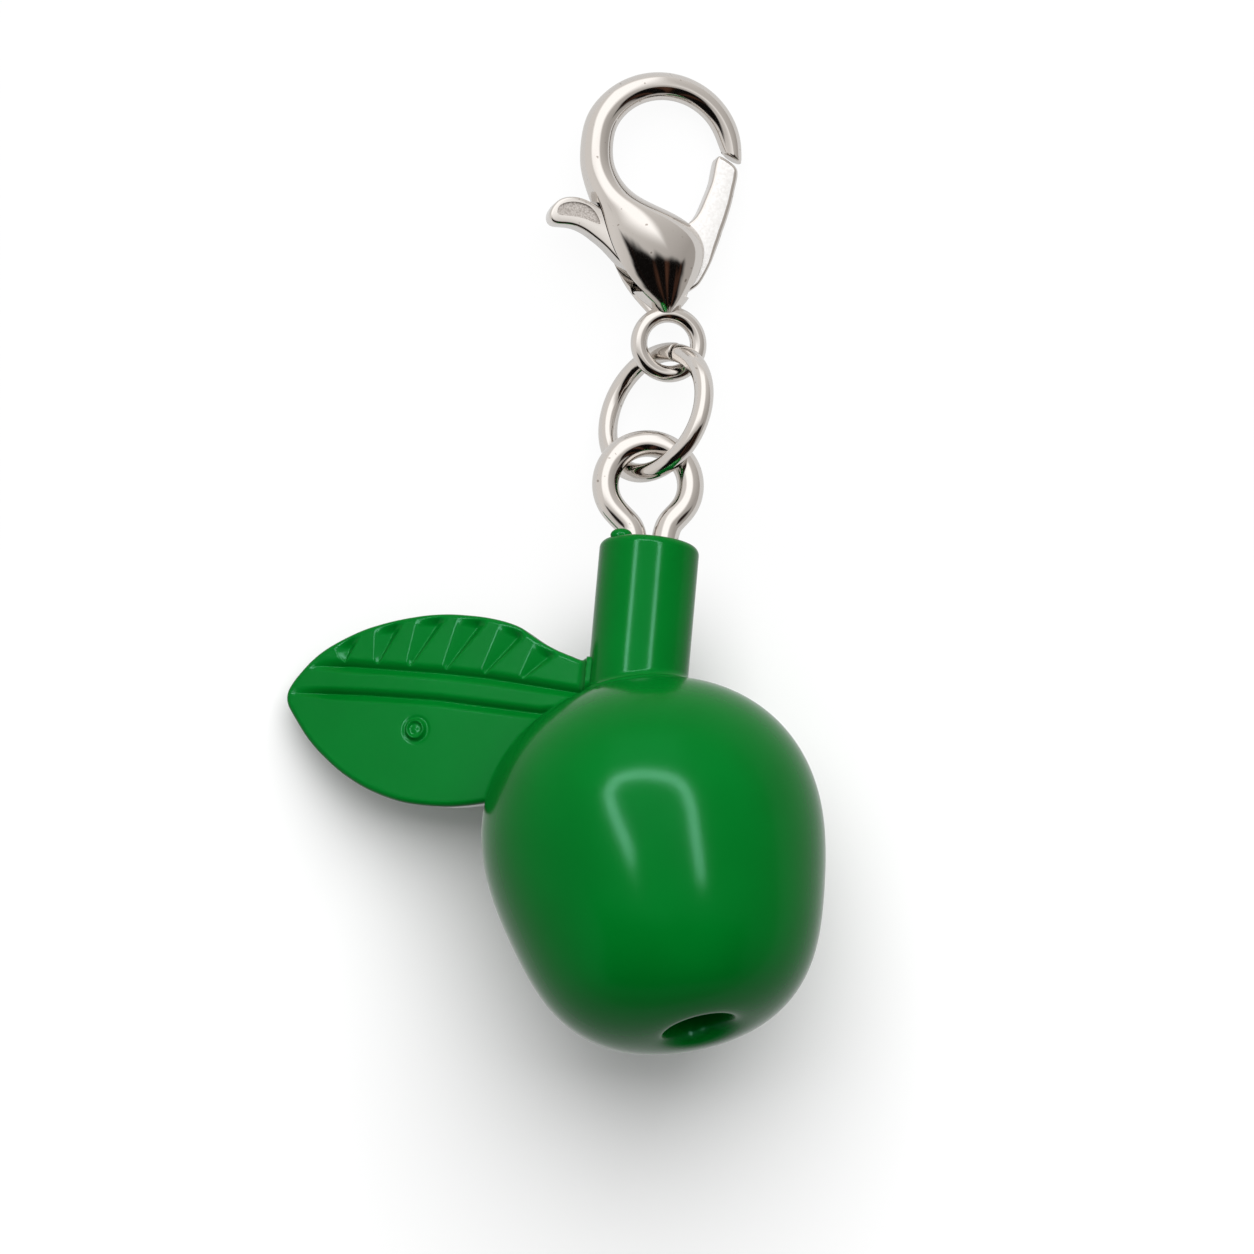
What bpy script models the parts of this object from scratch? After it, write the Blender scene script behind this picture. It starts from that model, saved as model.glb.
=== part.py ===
"""Green plastic apple charm with a leaf, hung from a metal jump ring and a small spring clasp.

Units are metres, +Z is up. The charm lies on a table (z = 0), stem toward +Y, leaf toward -X.
Lengths below are given in millimetres and turned into metres when the meshes are made.
"""
import math

import bmesh
import bpy
import numpy as np
from mathutils import Matrix, Vector

MM = 0.001

# Apple body: a turned shape, wider at the stem end, lying on its side.
BODY_CENTRE = (3.585, -10.894, 6.05)
BODY_LEAN = math.radians(11.0)
BODY_TILT = math.radians(18.0)
BODY_MEAN = 5.72
BODY_WAVES = (1.22, 0.40, 0.01, -0.165)
BODY_ROWS = 26
BODY_STEPS = 56

# Calyx dimple at the blossom end.
CALYX_CENTRE = (4.66, -14.99, 8.02)
CALYX_LEAN = math.radians(17.0)
CALYX_TILT = math.radians(23.0)
CALYX_RADIUS = 1.12
CALYX_DEPTH = 2.3

# Stem: a round bar of the standard toy size.
STEM_BASE = (2.695, -4.084, 4.06)
STEM_PITCH = math.radians(12.0)
STEM_LEAN = 0.0878
STEM_RADIUS = 1.6
STEM_LENGTH = 4.66
STEM_EDGE = 0.25

# Leaf: a flat plate in the plane of the stem, rolled so that its tip reaches the table.
LEAF_ROLL = math.radians(17.5)
LEAF_THICKNESS = 1.2
LEAF_EDGE = 0.12
VEIN_DEPTH = 0.26
MIDRIB_DEPTH = 0.22

# Wire eye pressed into the end of the stem.
EYE_CENTRE = (3.042, 2.363, 2.72)
EYE_RADIUS = 1.383
EYE_WIRE = 0.8850
EYE_SEAT_GAP = 0.02
EYE_ROLL = math.radians(4.0)

# Jump ring.
RING_CENTRE = (3.289, 4.714, 2.03)
RING_RADIUS = 2.07
RING_WIRE = 0.63
RING_LONG = (0.434, 0.901, 0.0)
RING_SHORT = (0.606, -0.292, 0.740)
RING_SPLIT_TURN = math.radians(-9.0)
RING_SPLIT_GAP = 0.05
RING_SIDE_STEP = 0.06
LINK_TURN = math.radians(-17.4)
HANG_TURN = math.radians(158.6)

# Clasp: frame at the centre of its own small ring, hook end pitched down.
CLASP_CENTRE = (3.711, 6.938, 1.52)
CLASP_PITCH = math.radians(5.0)
CLASP_ROLL = math.radians(10.5)
CLASP_WIDEN = 1.0 / math.cos(CLASP_ROLL)
CLASP_RING_RADIUS = 0.974
CLASP_RING_WIRE = 0.54
HOOK_CENTRE = (-0.26, 6.23)
HOOK_OUTER = 2.66
PIVOT = (0.11 * CLASP_WIDEN, 2.67)
PIN_RADIUS = 0.30
SLOT_HALF = 0.48
LEVER_HALF = 0.42
HUB_RADIUS = 1.10

for old in list(bpy.data.objects):
    bpy.data.objects.remove(old, do_unlink=True)

charm = bpy.data.collections.new("apple_charm")
cutters = bpy.data.collections.new("cutters")
bpy.context.scene.collection.children.link(charm)
bpy.context.scene.collection.children.link(cutters)


def material(name, colour, metallic, roughness):
    """Principled material with a plain colour."""
    mat = bpy.data.materials.new(name)
    mat.use_nodes = True
    shader = mat.node_tree.nodes["Principled BSDF"]
    shader.inputs["Base Color"].default_value = (*colour, 1.0)
    shader.inputs["Metallic"].default_value = metallic
    shader.inputs["Roughness"].default_value = roughness
    mat.diffuse_color = (*colour, 1.0)
    return mat


def pitched(angle, roll=0.0):
    """Plane whose +Y end is turned down by the angle and +X side by the roll: x, y, normal."""
    y = Vector((0.0, math.cos(angle), -math.sin(angle)))
    level = Vector((0.0, math.sin(angle), math.cos(angle)))
    side = Vector((1.0, 0.0, 0.0))
    x = side * math.cos(roll) - level * math.sin(roll)
    return x, y, x.cross(y)


def frame(origin, x_axis, y_axis):
    """Placement with the given origin in millimetres and two directions."""
    x = Vector(x_axis).normalized()
    z = x.cross(Vector(y_axis)).normalized()
    y = z.cross(x)
    rows = Matrix((x, y, z)).transposed().to_4x4()
    return Matrix.Translation(Vector(origin) * MM) @ rows


def axis_frame(origin, z_axis):
    """Placement whose +Z runs along the given direction."""
    z = Vector(z_axis).normalized()
    x = Vector((1.0, 0.0, 0.0))
    x = (x - z * x.dot(z)).normalized()
    return frame(origin, x, z.cross(x))


def finish(obj, mat, placement, collection):
    """Placement, material, smooth shading and collection of a new object."""
    obj.matrix_world = placement
    collection.objects.link(obj)
    if mat is not None:
        obj.data.materials.append(mat)
    for face in obj.data.polygons:
        face.use_smooth = True
    if collection is cutters:
        obj.hide_render = True
        obj.display_type = 'WIRE'
    return obj


def from_bmesh(name, bm, mat, placement, collection):
    """Object made of a bmesh drawn in millimetres."""
    bmesh.ops.recalc_face_normals(bm, faces=bm.faces)
    bmesh.ops.scale(bm, vec=(MM, MM, MM), verts=bm.verts)
    mesh = bpy.data.meshes.new(name)
    bm.to_mesh(mesh)
    bm.free()
    return finish(bpy.data.objects.new(name, mesh), mat, placement, collection)


def lofted(rings):
    """Closed body through a list of rings of equally many points."""
    bm = bmesh.new()
    rows = [[bm.verts.new(p) for p in ring] for ring in rings]
    count = len(rows[0])
    for a, b in zip(rows[:-1], rows[1:]):
        for i in range(count):
            j = (i + 1) % count
            bm.faces.new((a[i], a[j], b[j], b[i]))
    bm.faces.new(rows[0])
    bm.faces.new(rows[-1])
    return bm


def turned(name, profile, steps, mat, placement, collection):
    """Closed turned body from a profile of (radius, height) running top to bottom."""
    mesh = bpy.data.meshes.new(name)
    verts = [(r * MM, 0.0, z * MM) for r, z in profile]
    edges = [(i, i + 1) for i in range(len(verts) - 1)]
    mesh.from_pydata(verts, edges, [])
    obj = finish(bpy.data.objects.new(name, mesh), mat, placement, collection)
    screw = obj.modifiers.new("Screw", 'SCREW')
    screw.axis = 'Z'
    screw.angle = math.tau
    screw.steps = steps
    screw.render_steps = steps
    screw.use_merge_vertices = True
    screw.merge_threshold = 1.0e-7
    screw.use_smooth_shade = True
    return obj


def plate(name, outline, low, high, edge, mat, placement, collection):
    """Flat plate with the given outline between two heights, its rim edges rounded."""
    bm = bmesh.new()
    base = bm.faces.new([bm.verts.new((x, y, low)) for x, y in outline])
    grown = bmesh.ops.extrude_face_region(bm, geom=[base])
    for item in grown["geom"]:
        if isinstance(item, bmesh.types.BMVert):
            item.co.z = high
    if edge > 0.0:
        rim = [e for e in bm.edges if abs(e.verts[0].co.z - e.verts[1].co.z) < 1.0e-6]
        bmesh.ops.bevel(bm, geom=rim, offset=edge, offset_type='OFFSET', segments=2,
                        profile=0.5, affect='EDGES', clamp_overlap=True)
    return from_bmesh(name, bm, mat, placement, collection)


def through(points, steps):
    """Smooth curve through the points, the given number of steps between neighbours."""
    p = np.array(points, dtype=float)
    ext = np.vstack([2.0 * p[0] - p[1], p, 2.0 * p[-1] - p[-2]])
    out = []
    for i in range(1, len(ext) - 2):
        a, b, c, d = ext[i - 1], ext[i], ext[i + 1], ext[i + 2]
        for k in range(steps):
            t = k / steps
            out.append(0.5 * (2.0 * b + (c - a) * t + (2.0 * a - 5.0 * b + 4.0 * c - d) * t * t
                              + (3.0 * b - a - 3.0 * c + d) * t ** 3))
    out.append(p[-1])
    return np.array(out)


def bent_wire(name, path, radius, mat, placement, resolution):
    """Round wire along a path in millimetres: a bevelled curve with filled ends."""
    curve = bpy.data.curves.new(name, 'CURVE')
    curve.dimensions = '3D'
    curve.bevel_depth = radius * MM
    curve.bevel_resolution = resolution
    curve.use_fill_caps = True
    spline = curve.splines.new('POLY')
    spline.points.add(len(path) - 1)
    for point, (x, y, z) in zip(spline.points, path):
        point.co = (x * MM, y * MM, z * MM, 1.0)
    spline.use_smooth = True
    curve.materials.append(mat)
    obj = bpy.data.objects.new(name, curve)
    obj.matrix_world = placement
    charm.objects.link(obj)
    return obj


def boolean(obj, other, operation):
    """Exact boolean step."""
    step = obj.modifiers.new(other.name, 'BOOLEAN')
    step.operation = operation
    step.solver = 'EXACT'
    step.object = other
    step.double_threshold = 0.0


def move_origin(obj, point):
    """Origin moved to a world point in millimetres, the shape left where it is."""
    place = obj.matrix_world.copy()
    target = Vector(point) * MM
    shift = place.inverted() @ target
    obj.data.transform(Matrix.Translation(-shift))
    obj.matrix_world = Matrix.Translation(target - place.translation) @ place


green = material("green_plastic", (0.0, 0.20, 0.03), 0.0, 0.12)
nickel = material("plated_metal", (0.82, 0.80, 0.78), 1.0, 0.08)
spring_steel = material("spring_steel", (0.55, 0.55, 0.56), 1.0, 0.30)

# Apple body.
body_axis = Vector((-math.sin(BODY_LEAN) * math.cos(BODY_TILT),
                    math.cos(BODY_LEAN) * math.cos(BODY_TILT), -math.sin(BODY_TILT)))
profile = []
for row in range(BODY_ROWS + 1):
    turn = math.pi * row / BODY_ROWS
    reach = BODY_MEAN + sum(w * math.cos((k + 1) * turn) for k, w in enumerate(BODY_WAVES))
    profile.append((abs(reach * math.sin(turn)), reach * math.cos(turn)))
profile[0] = (0.0, profile[0][1])
profile[-1] = (0.0, profile[-1][1])
apple = turned("apple_moulding", profile, BODY_STEPS, green,
               axis_frame(BODY_CENTRE, body_axis), charm)

# Stem with a rounded end.
_, stem_y, _ = pitched(STEM_PITCH)
stem_axis = (stem_y + Vector((STEM_LEAN, 0.0, 0.0))).normalized()
round_end = []
for k in range(5):
    turn = math.pi / 2 * k / 4
    round_end.append((STEM_RADIUS - STEM_EDGE + STEM_EDGE * math.sin(turn),
                      STEM_LENGTH - STEM_EDGE + STEM_EDGE * math.cos(turn)))
stem_profile = [(0.0, STEM_LENGTH)] + round_end + [(STEM_RADIUS, -3.0), (0.0, -3.0)]
stem_place = axis_frame(STEM_BASE, stem_axis)
stem = turned("stem", stem_profile, 40, green, stem_place, cutters)

# Leaf outline in the plane of the leaf, from the stem over the top to the tip and back.
LEAF_OUTLINE = [(-0.30, 0.85), (-1.43, 0.90), (-1.70, 0.86), (-2.10, 1.03), (-2.53, 1.23),
                (-2.98, 1.49), (-3.39, 1.78), (-3.76, 2.05), (-4.17, 2.24), (-4.60, 2.38),
                (-5.05, 2.49), (-5.52, 2.57), (-6.16, 2.65), (-6.85, 2.67), (-7.45, 2.63),
                (-8.02, 2.56), (-8.60, 2.45), (-9.17, 2.30), (-9.86, 2.03), (-10.45, 1.73),
                (-10.88, 1.42), (-11.20, 1.11), (-11.47, 0.81), (-11.67, 0.51),
                (-11.74, 0.25), (-11.70, 0.00), (-11.57, -0.26), (-11.41, -0.53),
                (-11.21, -0.86), (-10.99, -1.18), (-10.72, -1.51), (-10.40, -1.84),
                (-10.04, -2.18), (-9.62, -2.51), (-9.10, -2.85), (-8.50, -3.15),
                (-7.83, -3.40), (-7.15, -3.55), (-6.35, -3.65), (-5.79, -3.66),
                (-5.22, -3.63), (-4.40, -3.54), (-3.20, -3.38), (-0.30, -3.20)]
_, leaf_y, leaf_n = pitched(STEM_PITCH)
leaf_x = Vector((1.0, 0.0, 0.0)) * math.cos(LEAF_ROLL) + leaf_n * math.sin(LEAF_ROLL)
leaf_place = frame(STEM_BASE, leaf_x, leaf_y)
top = LEAF_THICKNESS / 2
leaf = plate("leaf", LEAF_OUTLINE, -top, top, LEAF_EDGE, green, leaf_place, cutters)

# Side veins: grooves that widen from the midrib to the rim (foot and head of each).
VEINS = [((-9.73, 1.30), (-9.52, 1.98)), ((-8.58, 1.22), (-7.98, 2.42)),
         ((-7.46, 1.08), (-6.52, 2.50)), ((-6.24, 0.88), (-5.12, 2.33)),
         ((-4.92, 0.66), (-3.76, 1.87)), ((-3.62, 0.42), (-2.62, 1.22))]
bm = bmesh.new()
for foot, head in VEINS:
    direction = (Vector(head) - Vector(foot)).normalized()
    across = Vector((direction.y, -direction.x))
    ends = []
    for point, left, right, depth in ((foot, 0.10, 0.06, 0.10), (head, 0.34, 0.14, VEIN_DEPTH)):
        p = Vector(point)
        a = p - across * left
        b = p + across * right
        ends.append([bm.verts.new((a.x, a.y, top + 0.05)), bm.verts.new((p.x, p.y, top - depth)),
                     bm.verts.new((b.x, b.y, top + 0.05))])
    for i in range(3):
        j = (i + 1) % 3
        bm.faces.new((ends[0][i], ends[0][j], ends[1][j], ends[1][i]))
    bm.faces.new(ends[0])
    bm.faces.new(ends[1])
veins = from_bmesh("vein_grooves", bm, None, leaf_place, cutters)

# Midrib: a raised band between two grooves, each with a gentle upper and a steep lower wall.
MIDRIB_UPPER = [((-10.95, 1.22), (-10.95, 1.10)), ((-9.50, 1.12), (-9.55, 0.86)),
                ((-8.30, 0.96), (-8.32, 0.74)), ((-7.14, 0.80), (-7.16, 0.58)),
                ((-6.50, 0.72), (-6.52, 0.48)), ((-4.88, 0.45), (-4.92, 0.20)),
                ((-3.25, 0.10), (-3.32, -0.14)), ((-1.80, -0.22), (-1.86, -0.41))]
MIDRIB_LOWER = [((-11.50, 0.36), (-11.50, 0.28)), ((-10.20, 0.27), (-10.20, 0.04)),
                ((-8.96, 0.14), (-8.98, -0.10)), ((-7.14, -0.09), (-7.16, -0.31)),
                ((-6.49, -0.18), (-6.52, -0.40)), ((-5.00, -0.46), (-5.04, -0.68)),
                ((-3.13, -0.80), (-3.18, -1.03))]
bm = bmesh.new()
for line in (MIDRIB_UPPER, MIDRIB_LOWER):
    rows = []
    for valley, crest in line:
        first = line.index((valley, crest)) == 0
        deep = 0.06 if first else MIDRIB_DEPTH
        rise = 0.05 if first else 0.14
        rows.append([bm.verts.new((valley[0], valley[1] + rise, top + 0.05)),
                     bm.verts.new((valley[0], valley[1], top - deep)),
                     bm.verts.new((crest[0], crest[1], top + 0.05))])
    for a, b in zip(rows[:-1], rows[1:]):
        for i in range(3):
            j = (i + 1) % 3
            bm.faces.new((a[i], a[j], b[j], b[i]))
    bm.faces.new(rows[0])
    bm.faces.new(rows[-1])
bmesh.ops.triangulate(bm, faces=bm.faces)
midrib = from_bmesh("midrib_grooves", bm, None, leaf_place, cutters)

# Round ejector mark on the smooth half of the leaf, with a dished top.
mark_profile = [(0.0, top + 0.03), (0.18, top + 0.04), (0.27, top + 0.10), (0.335, top + 0.07),
                (0.345, top - 0.30), (0.0, top - 0.30)]
mark_place = leaf_place @ Matrix.Translation(Vector((-7.27, -1.10, 0.0)) * MM)
mark = turned("ejector_mark", mark_profile, 24, green, mark_place, cutters)

# Small moulding burr on the stem's end beside the wire.
burr_profile = []
for k in range(7):
    turn = math.pi * k / 6
    burr_profile.append((0.36 * math.sin(turn), 0.36 * math.cos(turn)))
burr_profile[0] = (0.0, 0.36)
burr_profile[-1] = (0.0, -0.36)
burr_place = stem_place @ Matrix.Translation(Vector((-0.72, 1.02, STEM_LENGTH - 0.02)) * MM)
burr = turned("burr", burr_profile, 16, green, burr_place, cutters)

# Calyx dimple: a flared rim going over into a round hole.
calyx_axis = Vector((-math.sin(CALYX_LEAN) * math.cos(CALYX_TILT),
                     math.cos(CALYX_LEAN) * math.cos(CALYX_TILT), -math.sin(CALYX_TILT)))
R = CALYX_RADIUS
calyx_profile = [(0.0, CALYX_DEPTH), (0.7 * R, CALYX_DEPTH - 0.08), (0.95 * R, CALYX_DEPTH - 0.5),
                 (R, 0.45), (R + 0.08, 0.18), (R + 0.30, -0.06), (R + 0.75, -0.35),
                 (R + 1.4, -0.80), (0.0, -0.80)]
calyx = turned("calyx", calyx_profile, 40, None, axis_frame(CALYX_CENTRE, calyx_axis), cutters)

# Seat of the two wire legs in the stem's end.
EYE_PATH = [(-0.60, -3.10), (-0.51, -2.15), (-0.47, -1.72), (-0.58, -1.38)]
for k in range(13):
    turn = math.radians(233.0 - k * (233.0 + 54.0) / 12)
    EYE_PATH.append((EYE_RADIUS * math.cos(turn), EYE_RADIUS * math.sin(turn)))
EYE_PATH += [(0.65, -1.36), (0.55, -1.72), (0.51, -2.15), (0.43, -3.10)]
eye_x, eye_y, _ = pitched(STEM_PITCH, EYE_ROLL)
eye_place = frame(EYE_CENTRE, eye_x, eye_y)
eye_curve = through([(x, y, 0.0) for x, y in EYE_PATH], 3)
eye = bent_wire("wire_eye", eye_curve, EYE_WIRE / 2, nickel, eye_place, 4)

seat_r = EYE_WIRE / 2 + EYE_SEAT_GAP
seat = []
for k in range(13):
    turn = math.radians(90.0 + k * 15.0)
    seat.append((-0.535 + seat_r * math.cos(turn), seat_r * math.sin(turn)))
for k in range(13):
    turn = math.radians(-90.0 + k * 15.0)
    seat.append((0.495 + seat_r * math.cos(turn), seat_r * math.sin(turn)))
seat_bm = bmesh.new()
seat_rows = []
for height, shift in ((-0.80, 0.115), (-3.16, -0.075)):
    seat_rows.append([seat_bm.verts.new((x + shift, height, y)) for x, y in seat])
count = len(seat)
for i in range(count):
    j = (i + 1) % count
    seat_bm.faces.new((seat_rows[0][i], seat_rows[0][j], seat_rows[1][j], seat_rows[1][i]))
seat_bm.faces.new(seat_rows[0])
seat_bm.faces.new(seat_rows[1])
seat_cut = from_bmesh("wire_seat", seat_bm, None, eye_place, cutters)

# Flat resting spot on the belly.
spot_bm = bmesh.new()
bmesh.ops.create_cube(spot_bm, size=1.0)
bmesh.ops.scale(spot_bm, vec=(8.0, 8.0, 2.0), verts=spot_bm.verts)
spot = from_bmesh("rest_spot", spot_bm, None,
                  Matrix.Translation(Vector((3.1, -8.8, -1.0)) * MM), cutters)

boolean(apple, stem, 'UNION')
boolean(apple, leaf, 'UNION')
boolean(apple, mark, 'UNION')
boolean(apple, burr, 'UNION')
boolean(apple, veins, 'DIFFERENCE')
boolean(apple, midrib, 'DIFFERENCE')
boolean(apple, calyx, 'DIFFERENCE')
boolean(apple, seat_cut, 'DIFFERENCE')
boolean(apple, spot, 'DIFFERENCE')

# Jump ring: one turn of round wire, its two ends side by side with a narrow split.
ring_place = frame(RING_CENTRE, RING_LONG, RING_SHORT)
half_gap = RING_SPLIT_GAP / 2 / RING_RADIUS
ring_path = []
RING_STEPS = 60
for k in range(RING_STEPS + 1):
    share = k / RING_STEPS
    turn = RING_SPLIT_TURN + half_gap + share * (math.tau - 2 * half_gap)
    side = RING_SIDE_STEP * (0.5 - share) * abs(2.0 * share - 1.0) ** 3
    ring_path.append((RING_RADIUS * math.cos(turn), RING_RADIUS * math.sin(turn), side))
ring = bent_wire("jump_ring", ring_path, RING_WIRE / 2, nickel, ring_place, 4)

# Clasp body: one loft from the neck through the drop-shaped dome into the hook.
# Each station has the left and right edge in the plane of the clasp and a half height.
STATIONS = [((-0.37, 1.01), (0.21, 1.01), 0.35), ((-0.79, 1.44), (0.53, 1.30), 0.62),
            ((-1.25, 2.02), (0.95, 1.99), 0.95), ((-1.60, 2.67), (1.20, 2.67), 1.12),
            ((-1.86, 3.23), (1.20, 3.22), 1.18), ((-2.06, 3.65), (0.93, 3.71), 1.16),
            ((-2.25, 4.05), (0.37, 4.14), 1.06), ((-2.41, 4.37), (-0.41, 4.47), 0.93),
            ((-2.54, 4.67), (-1.02, 4.76), 0.80), ((-2.67, 5.02), (-1.44, 5.14), 0.68),
            ((-2.80, 5.48), (-1.68, 5.55), 0.59), ((-2.88, 6.01), (-1.83, 6.01), 0.54)]
for k in range(1, 12):
    turn = math.radians(176.0 - 15.2 * k)
    wire = 1.08 - 0.030 * k
    outer = (HOOK_CENTRE[0] + HOOK_OUTER * math.cos(turn),
             HOOK_CENTRE[1] + HOOK_OUTER * math.sin(turn))
    inner = (HOOK_CENTRE[0] + (HOOK_OUTER - wire) * math.cos(turn),
             HOOK_CENTRE[1] + (HOOK_OUTER - wire) * math.sin(turn))
    STATIONS.append((outer, inner, 0.53 - 0.013 * k))
STATIONS.append(((2.36, 5.90), (1.74, 6.26), 0.375))
STATIONS = [((a * CLASP_WIDEN, b), (c * CLASP_WIDEN, d), e) for (a, b), (c, d), e in STATIONS]


def clasp_loft(stations, steps, sides):
    """Rings of the loft: ellipses between the two edges of each station."""
    rows = through([(*left, *right, half) for left, right, half in stations], steps)
    rings = []
    for lx, ly, rx, ry, half in rows:
        ring_points = []
        for i in range(sides):
            turn = math.tau * i / sides
            share = 0.5 - 0.5 * math.cos(turn)
            ring_points.append((lx + (rx - lx) * share, ly + (ry - ly) * share,
                                half * math.sin(turn)))
        rings.append(ring_points)
    return lofted(rings)


clasp_x, clasp_y, _ = pitched(CLASP_PITCH, CLASP_ROLL)
clasp_place = frame(CLASP_CENTRE, clasp_x, clasp_y)
clasp = from_bmesh("clasp_body", clasp_loft(STATIONS, 3, 22), nickel, clasp_place, charm)

# Back shell: wider than the front dome, so that a narrow ledge shows beside it.
LEDGE_LEFT = (0.36, 0.34, 0.34, 0.33, 0.29, 0.21, 0.09, -0.06)
LEDGE_RIGHT = (0.20, 0.20, 0.16, 0.12, 0.05, -0.03, -0.08, -0.10)
back_stations = []
for (left, right, half), a, b in zip(STATIONS, LEDGE_LEFT, LEDGE_RIGHT):
    back_stations.append(((left[0] - a, left[1]), (right[0] + b, right[1]), half * 0.985))
back = from_bmesh("back_shell", clasp_loft(back_stations, 3, 22), nickel, clasp_place, cutters)
half_bm = bmesh.new()
bmesh.ops.create_cube(half_bm, size=1.0)
bmesh.ops.scale(half_bm, vec=(12.0, 24.0, 4.0), verts=half_bm.verts)
bmesh.ops.translate(half_bm, vec=(0.0, 4.0, 2.0 - SLOT_HALF - 0.01), verts=half_bm.verts)
front_half = from_bmesh("front_half", half_bm, None, clasp_place, cutters)
boolean(back, front_half, 'DIFFERENCE')

# Small ring at the neck.
bpy.ops.mesh.primitive_torus_add(major_segments=40, minor_segments=14,
                                 major_radius=CLASP_RING_RADIUS * MM,
                                 minor_radius=CLASP_RING_WIRE / 2 * MM)
neck_ring = bpy.context.active_object
neck_ring.name = "neck_ring"
for holder in list(neck_ring.users_collection):
    holder.objects.unlink(neck_ring)
finish(neck_ring, nickel, clasp_place, cutters)

# Slot for the lever, open on both sides of the dome.
SLOT = [(-3.51, 5.02), (-2.48, 4.68), (-1.83, 4.47), (-0.92, 4.21), (-0.44, 4.60),
        (-0.02, 5.02), (2.96, 5.02), (2.96, 1.76), (0.69, 1.50), (-0.92, 1.50),
        (-1.73, 1.70), (-3.51, 2.09)]
slot = plate("lever_slot", [(x * CLASP_WIDEN, y) for x, y in SLOT], -SLOT_HALF,
             SLOT_HALF, 0.0, None, clasp_place, cutters)
pivot_place = clasp_place @ Matrix.Translation(Vector((PIVOT[0], PIVOT[1], 0.0)) * MM)
hole = PIN_RADIUS + 0.01
pin_bore = turned("pin_bore", [(0.0, 0.82), (hole, 0.82), (hole, -2.0), (0.0, -2.0)], 24,
                  None, pivot_place, cutters)
boolean(clasp, back, 'UNION')
boolean(clasp, neck_ring, 'UNION')
boolean(clasp, slot, 'DIFFERENCE')
boolean(clasp, pin_bore, 'DIFFERENCE')

# Pivot pin with a low domed head at the back.
pin = turned("clasp_pin", [(0.0, 0.80), (PIN_RADIUS - 0.03, 0.80), (PIN_RADIUS, 0.77),
                           (PIN_RADIUS, -1.02), (PIN_RADIUS - 0.06, -1.08), (0.0, -1.11)], 24,
             nickel, pivot_place, charm)

# Lever: gate, hub and thumb tab in one flat piece.
LEVER = [(1.52, 6.10), (1.44, 5.86), (1.36, 5.40), (1.27, 5.11), (1.15, 4.82), (1.03, 4.52),
         (0.89, 4.23), (0.66, 3.95), (0.30, 3.80), (-0.10, 3.76), (-0.60, 3.85),
         (-1.41, 4.05), (-2.06, 4.27), (-2.49, 4.47), (-2.75, 4.59), (-3.00, 4.66),
         (-3.24, 4.67), (-3.46, 4.63), (-3.66, 4.51), (-3.82, 4.32), (-3.91, 4.11),
         (-3.88, 3.90), (-3.74, 3.78), (-3.53, 3.76), (-3.30, 3.75), (-3.08, 3.71),
         (-2.86, 3.62), (-2.66, 3.50), (-2.46, 3.35), (-2.23, 3.17), (-2.00, 2.95),
         (-1.70, 2.62), (-1.32, 2.30), (-0.95, 2.06)]
for k in range(9):
    turn = math.radians(216.0 + 13.5 * k)
    LEVER.append((PIVOT[0] + HUB_RADIUS * math.cos(turn), PIVOT[1] + HUB_RADIUS * math.sin(turn)))
LEVER += [(1.30, 2.60), (1.42, 2.90), (1.53, 3.18), (1.62, 3.43), (1.70, 3.69), (1.79, 3.93),
          (1.87, 4.18), (1.95, 4.44), (2.02, 4.70), (2.08, 4.99), (2.15, 5.29), (2.19, 5.52),
          (2.17, 5.70), (2.06, 5.84), (1.90, 5.96), (1.66, 6.11)]
LEVER = [(x * CLASP_WIDEN, y) for x, y in LEVER]
lever = plate("clasp_lever", LEVER, -LEVER_HALF, LEVER_HALF, 0.06, nickel, clasp_place, charm)
RECESS = [(-3.62, 4.06), (-3.65, 4.24), (-3.55, 4.39), (-3.33, 4.48), (-3.04, 4.50),
          (-2.72, 4.42), (-2.52, 4.28), (-2.36, 4.06), (-2.27, 3.78), (-2.52, 3.86),
          (-2.84, 3.97), (-3.18, 4.03)]
RECESS = [(x * CLASP_WIDEN, y) for x, y in RECESS]
recess = plate("tab_recess", RECESS, LEVER_HALF - 0.10, LEVER_HALF + 0.3, 0.0, None,
               clasp_place, cutters)
lever_bore = turned("lever_bore", [(0.0, 2.0), (PIN_RADIUS + 0.05, 2.0),
                                   (PIN_RADIUS + 0.05, -2.0), (0.0, -2.0)], 24,
                    None, pivot_place, cutters)
spring_pocket = turned("spring_pocket", [(0.0, -0.13), (0.82, -0.13), (0.82, -1.0),
                                         (0.0, -1.0)], 32, None, pivot_place, cutters)
boolean(lever, recess, 'DIFFERENCE')
boolean(lever, spring_pocket, 'DIFFERENCE')
boolean(lever, lever_bore, 'DIFFERENCE')

# Torsion spring: a flat spiral round the pin, inside the pocket at the back of the lever.
spiral = []
SPRING_TURNS = 1.75
for k in range(49):
    turn = math.tau * SPRING_TURNS * k / 48
    reach = 0.43 + 0.27 * k / 48
    spiral.append((reach * math.cos(turn), reach * math.sin(turn), -0.30))
spring = bent_wire("clasp_spring", spiral, 0.06, spring_steel, pivot_place, 2)

# Origins of the moving pieces on their joint axes.
hang = ring_place @ (Vector((RING_RADIUS * math.cos(HANG_TURN),
                             RING_RADIUS * math.sin(HANG_TURN), 0.0)) * MM)
link = ring_place @ (Vector((RING_RADIUS * math.cos(LINK_TURN),
                             RING_RADIUS * math.sin(LINK_TURN), 0.0)) * MM)
pivot = clasp_place @ (Vector((PIVOT[0], PIVOT[1], 0.0)) * MM)
move_origin(ring, hang / MM)
move_origin(clasp, link / MM)
move_origin(lever, pivot / MM)
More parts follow.
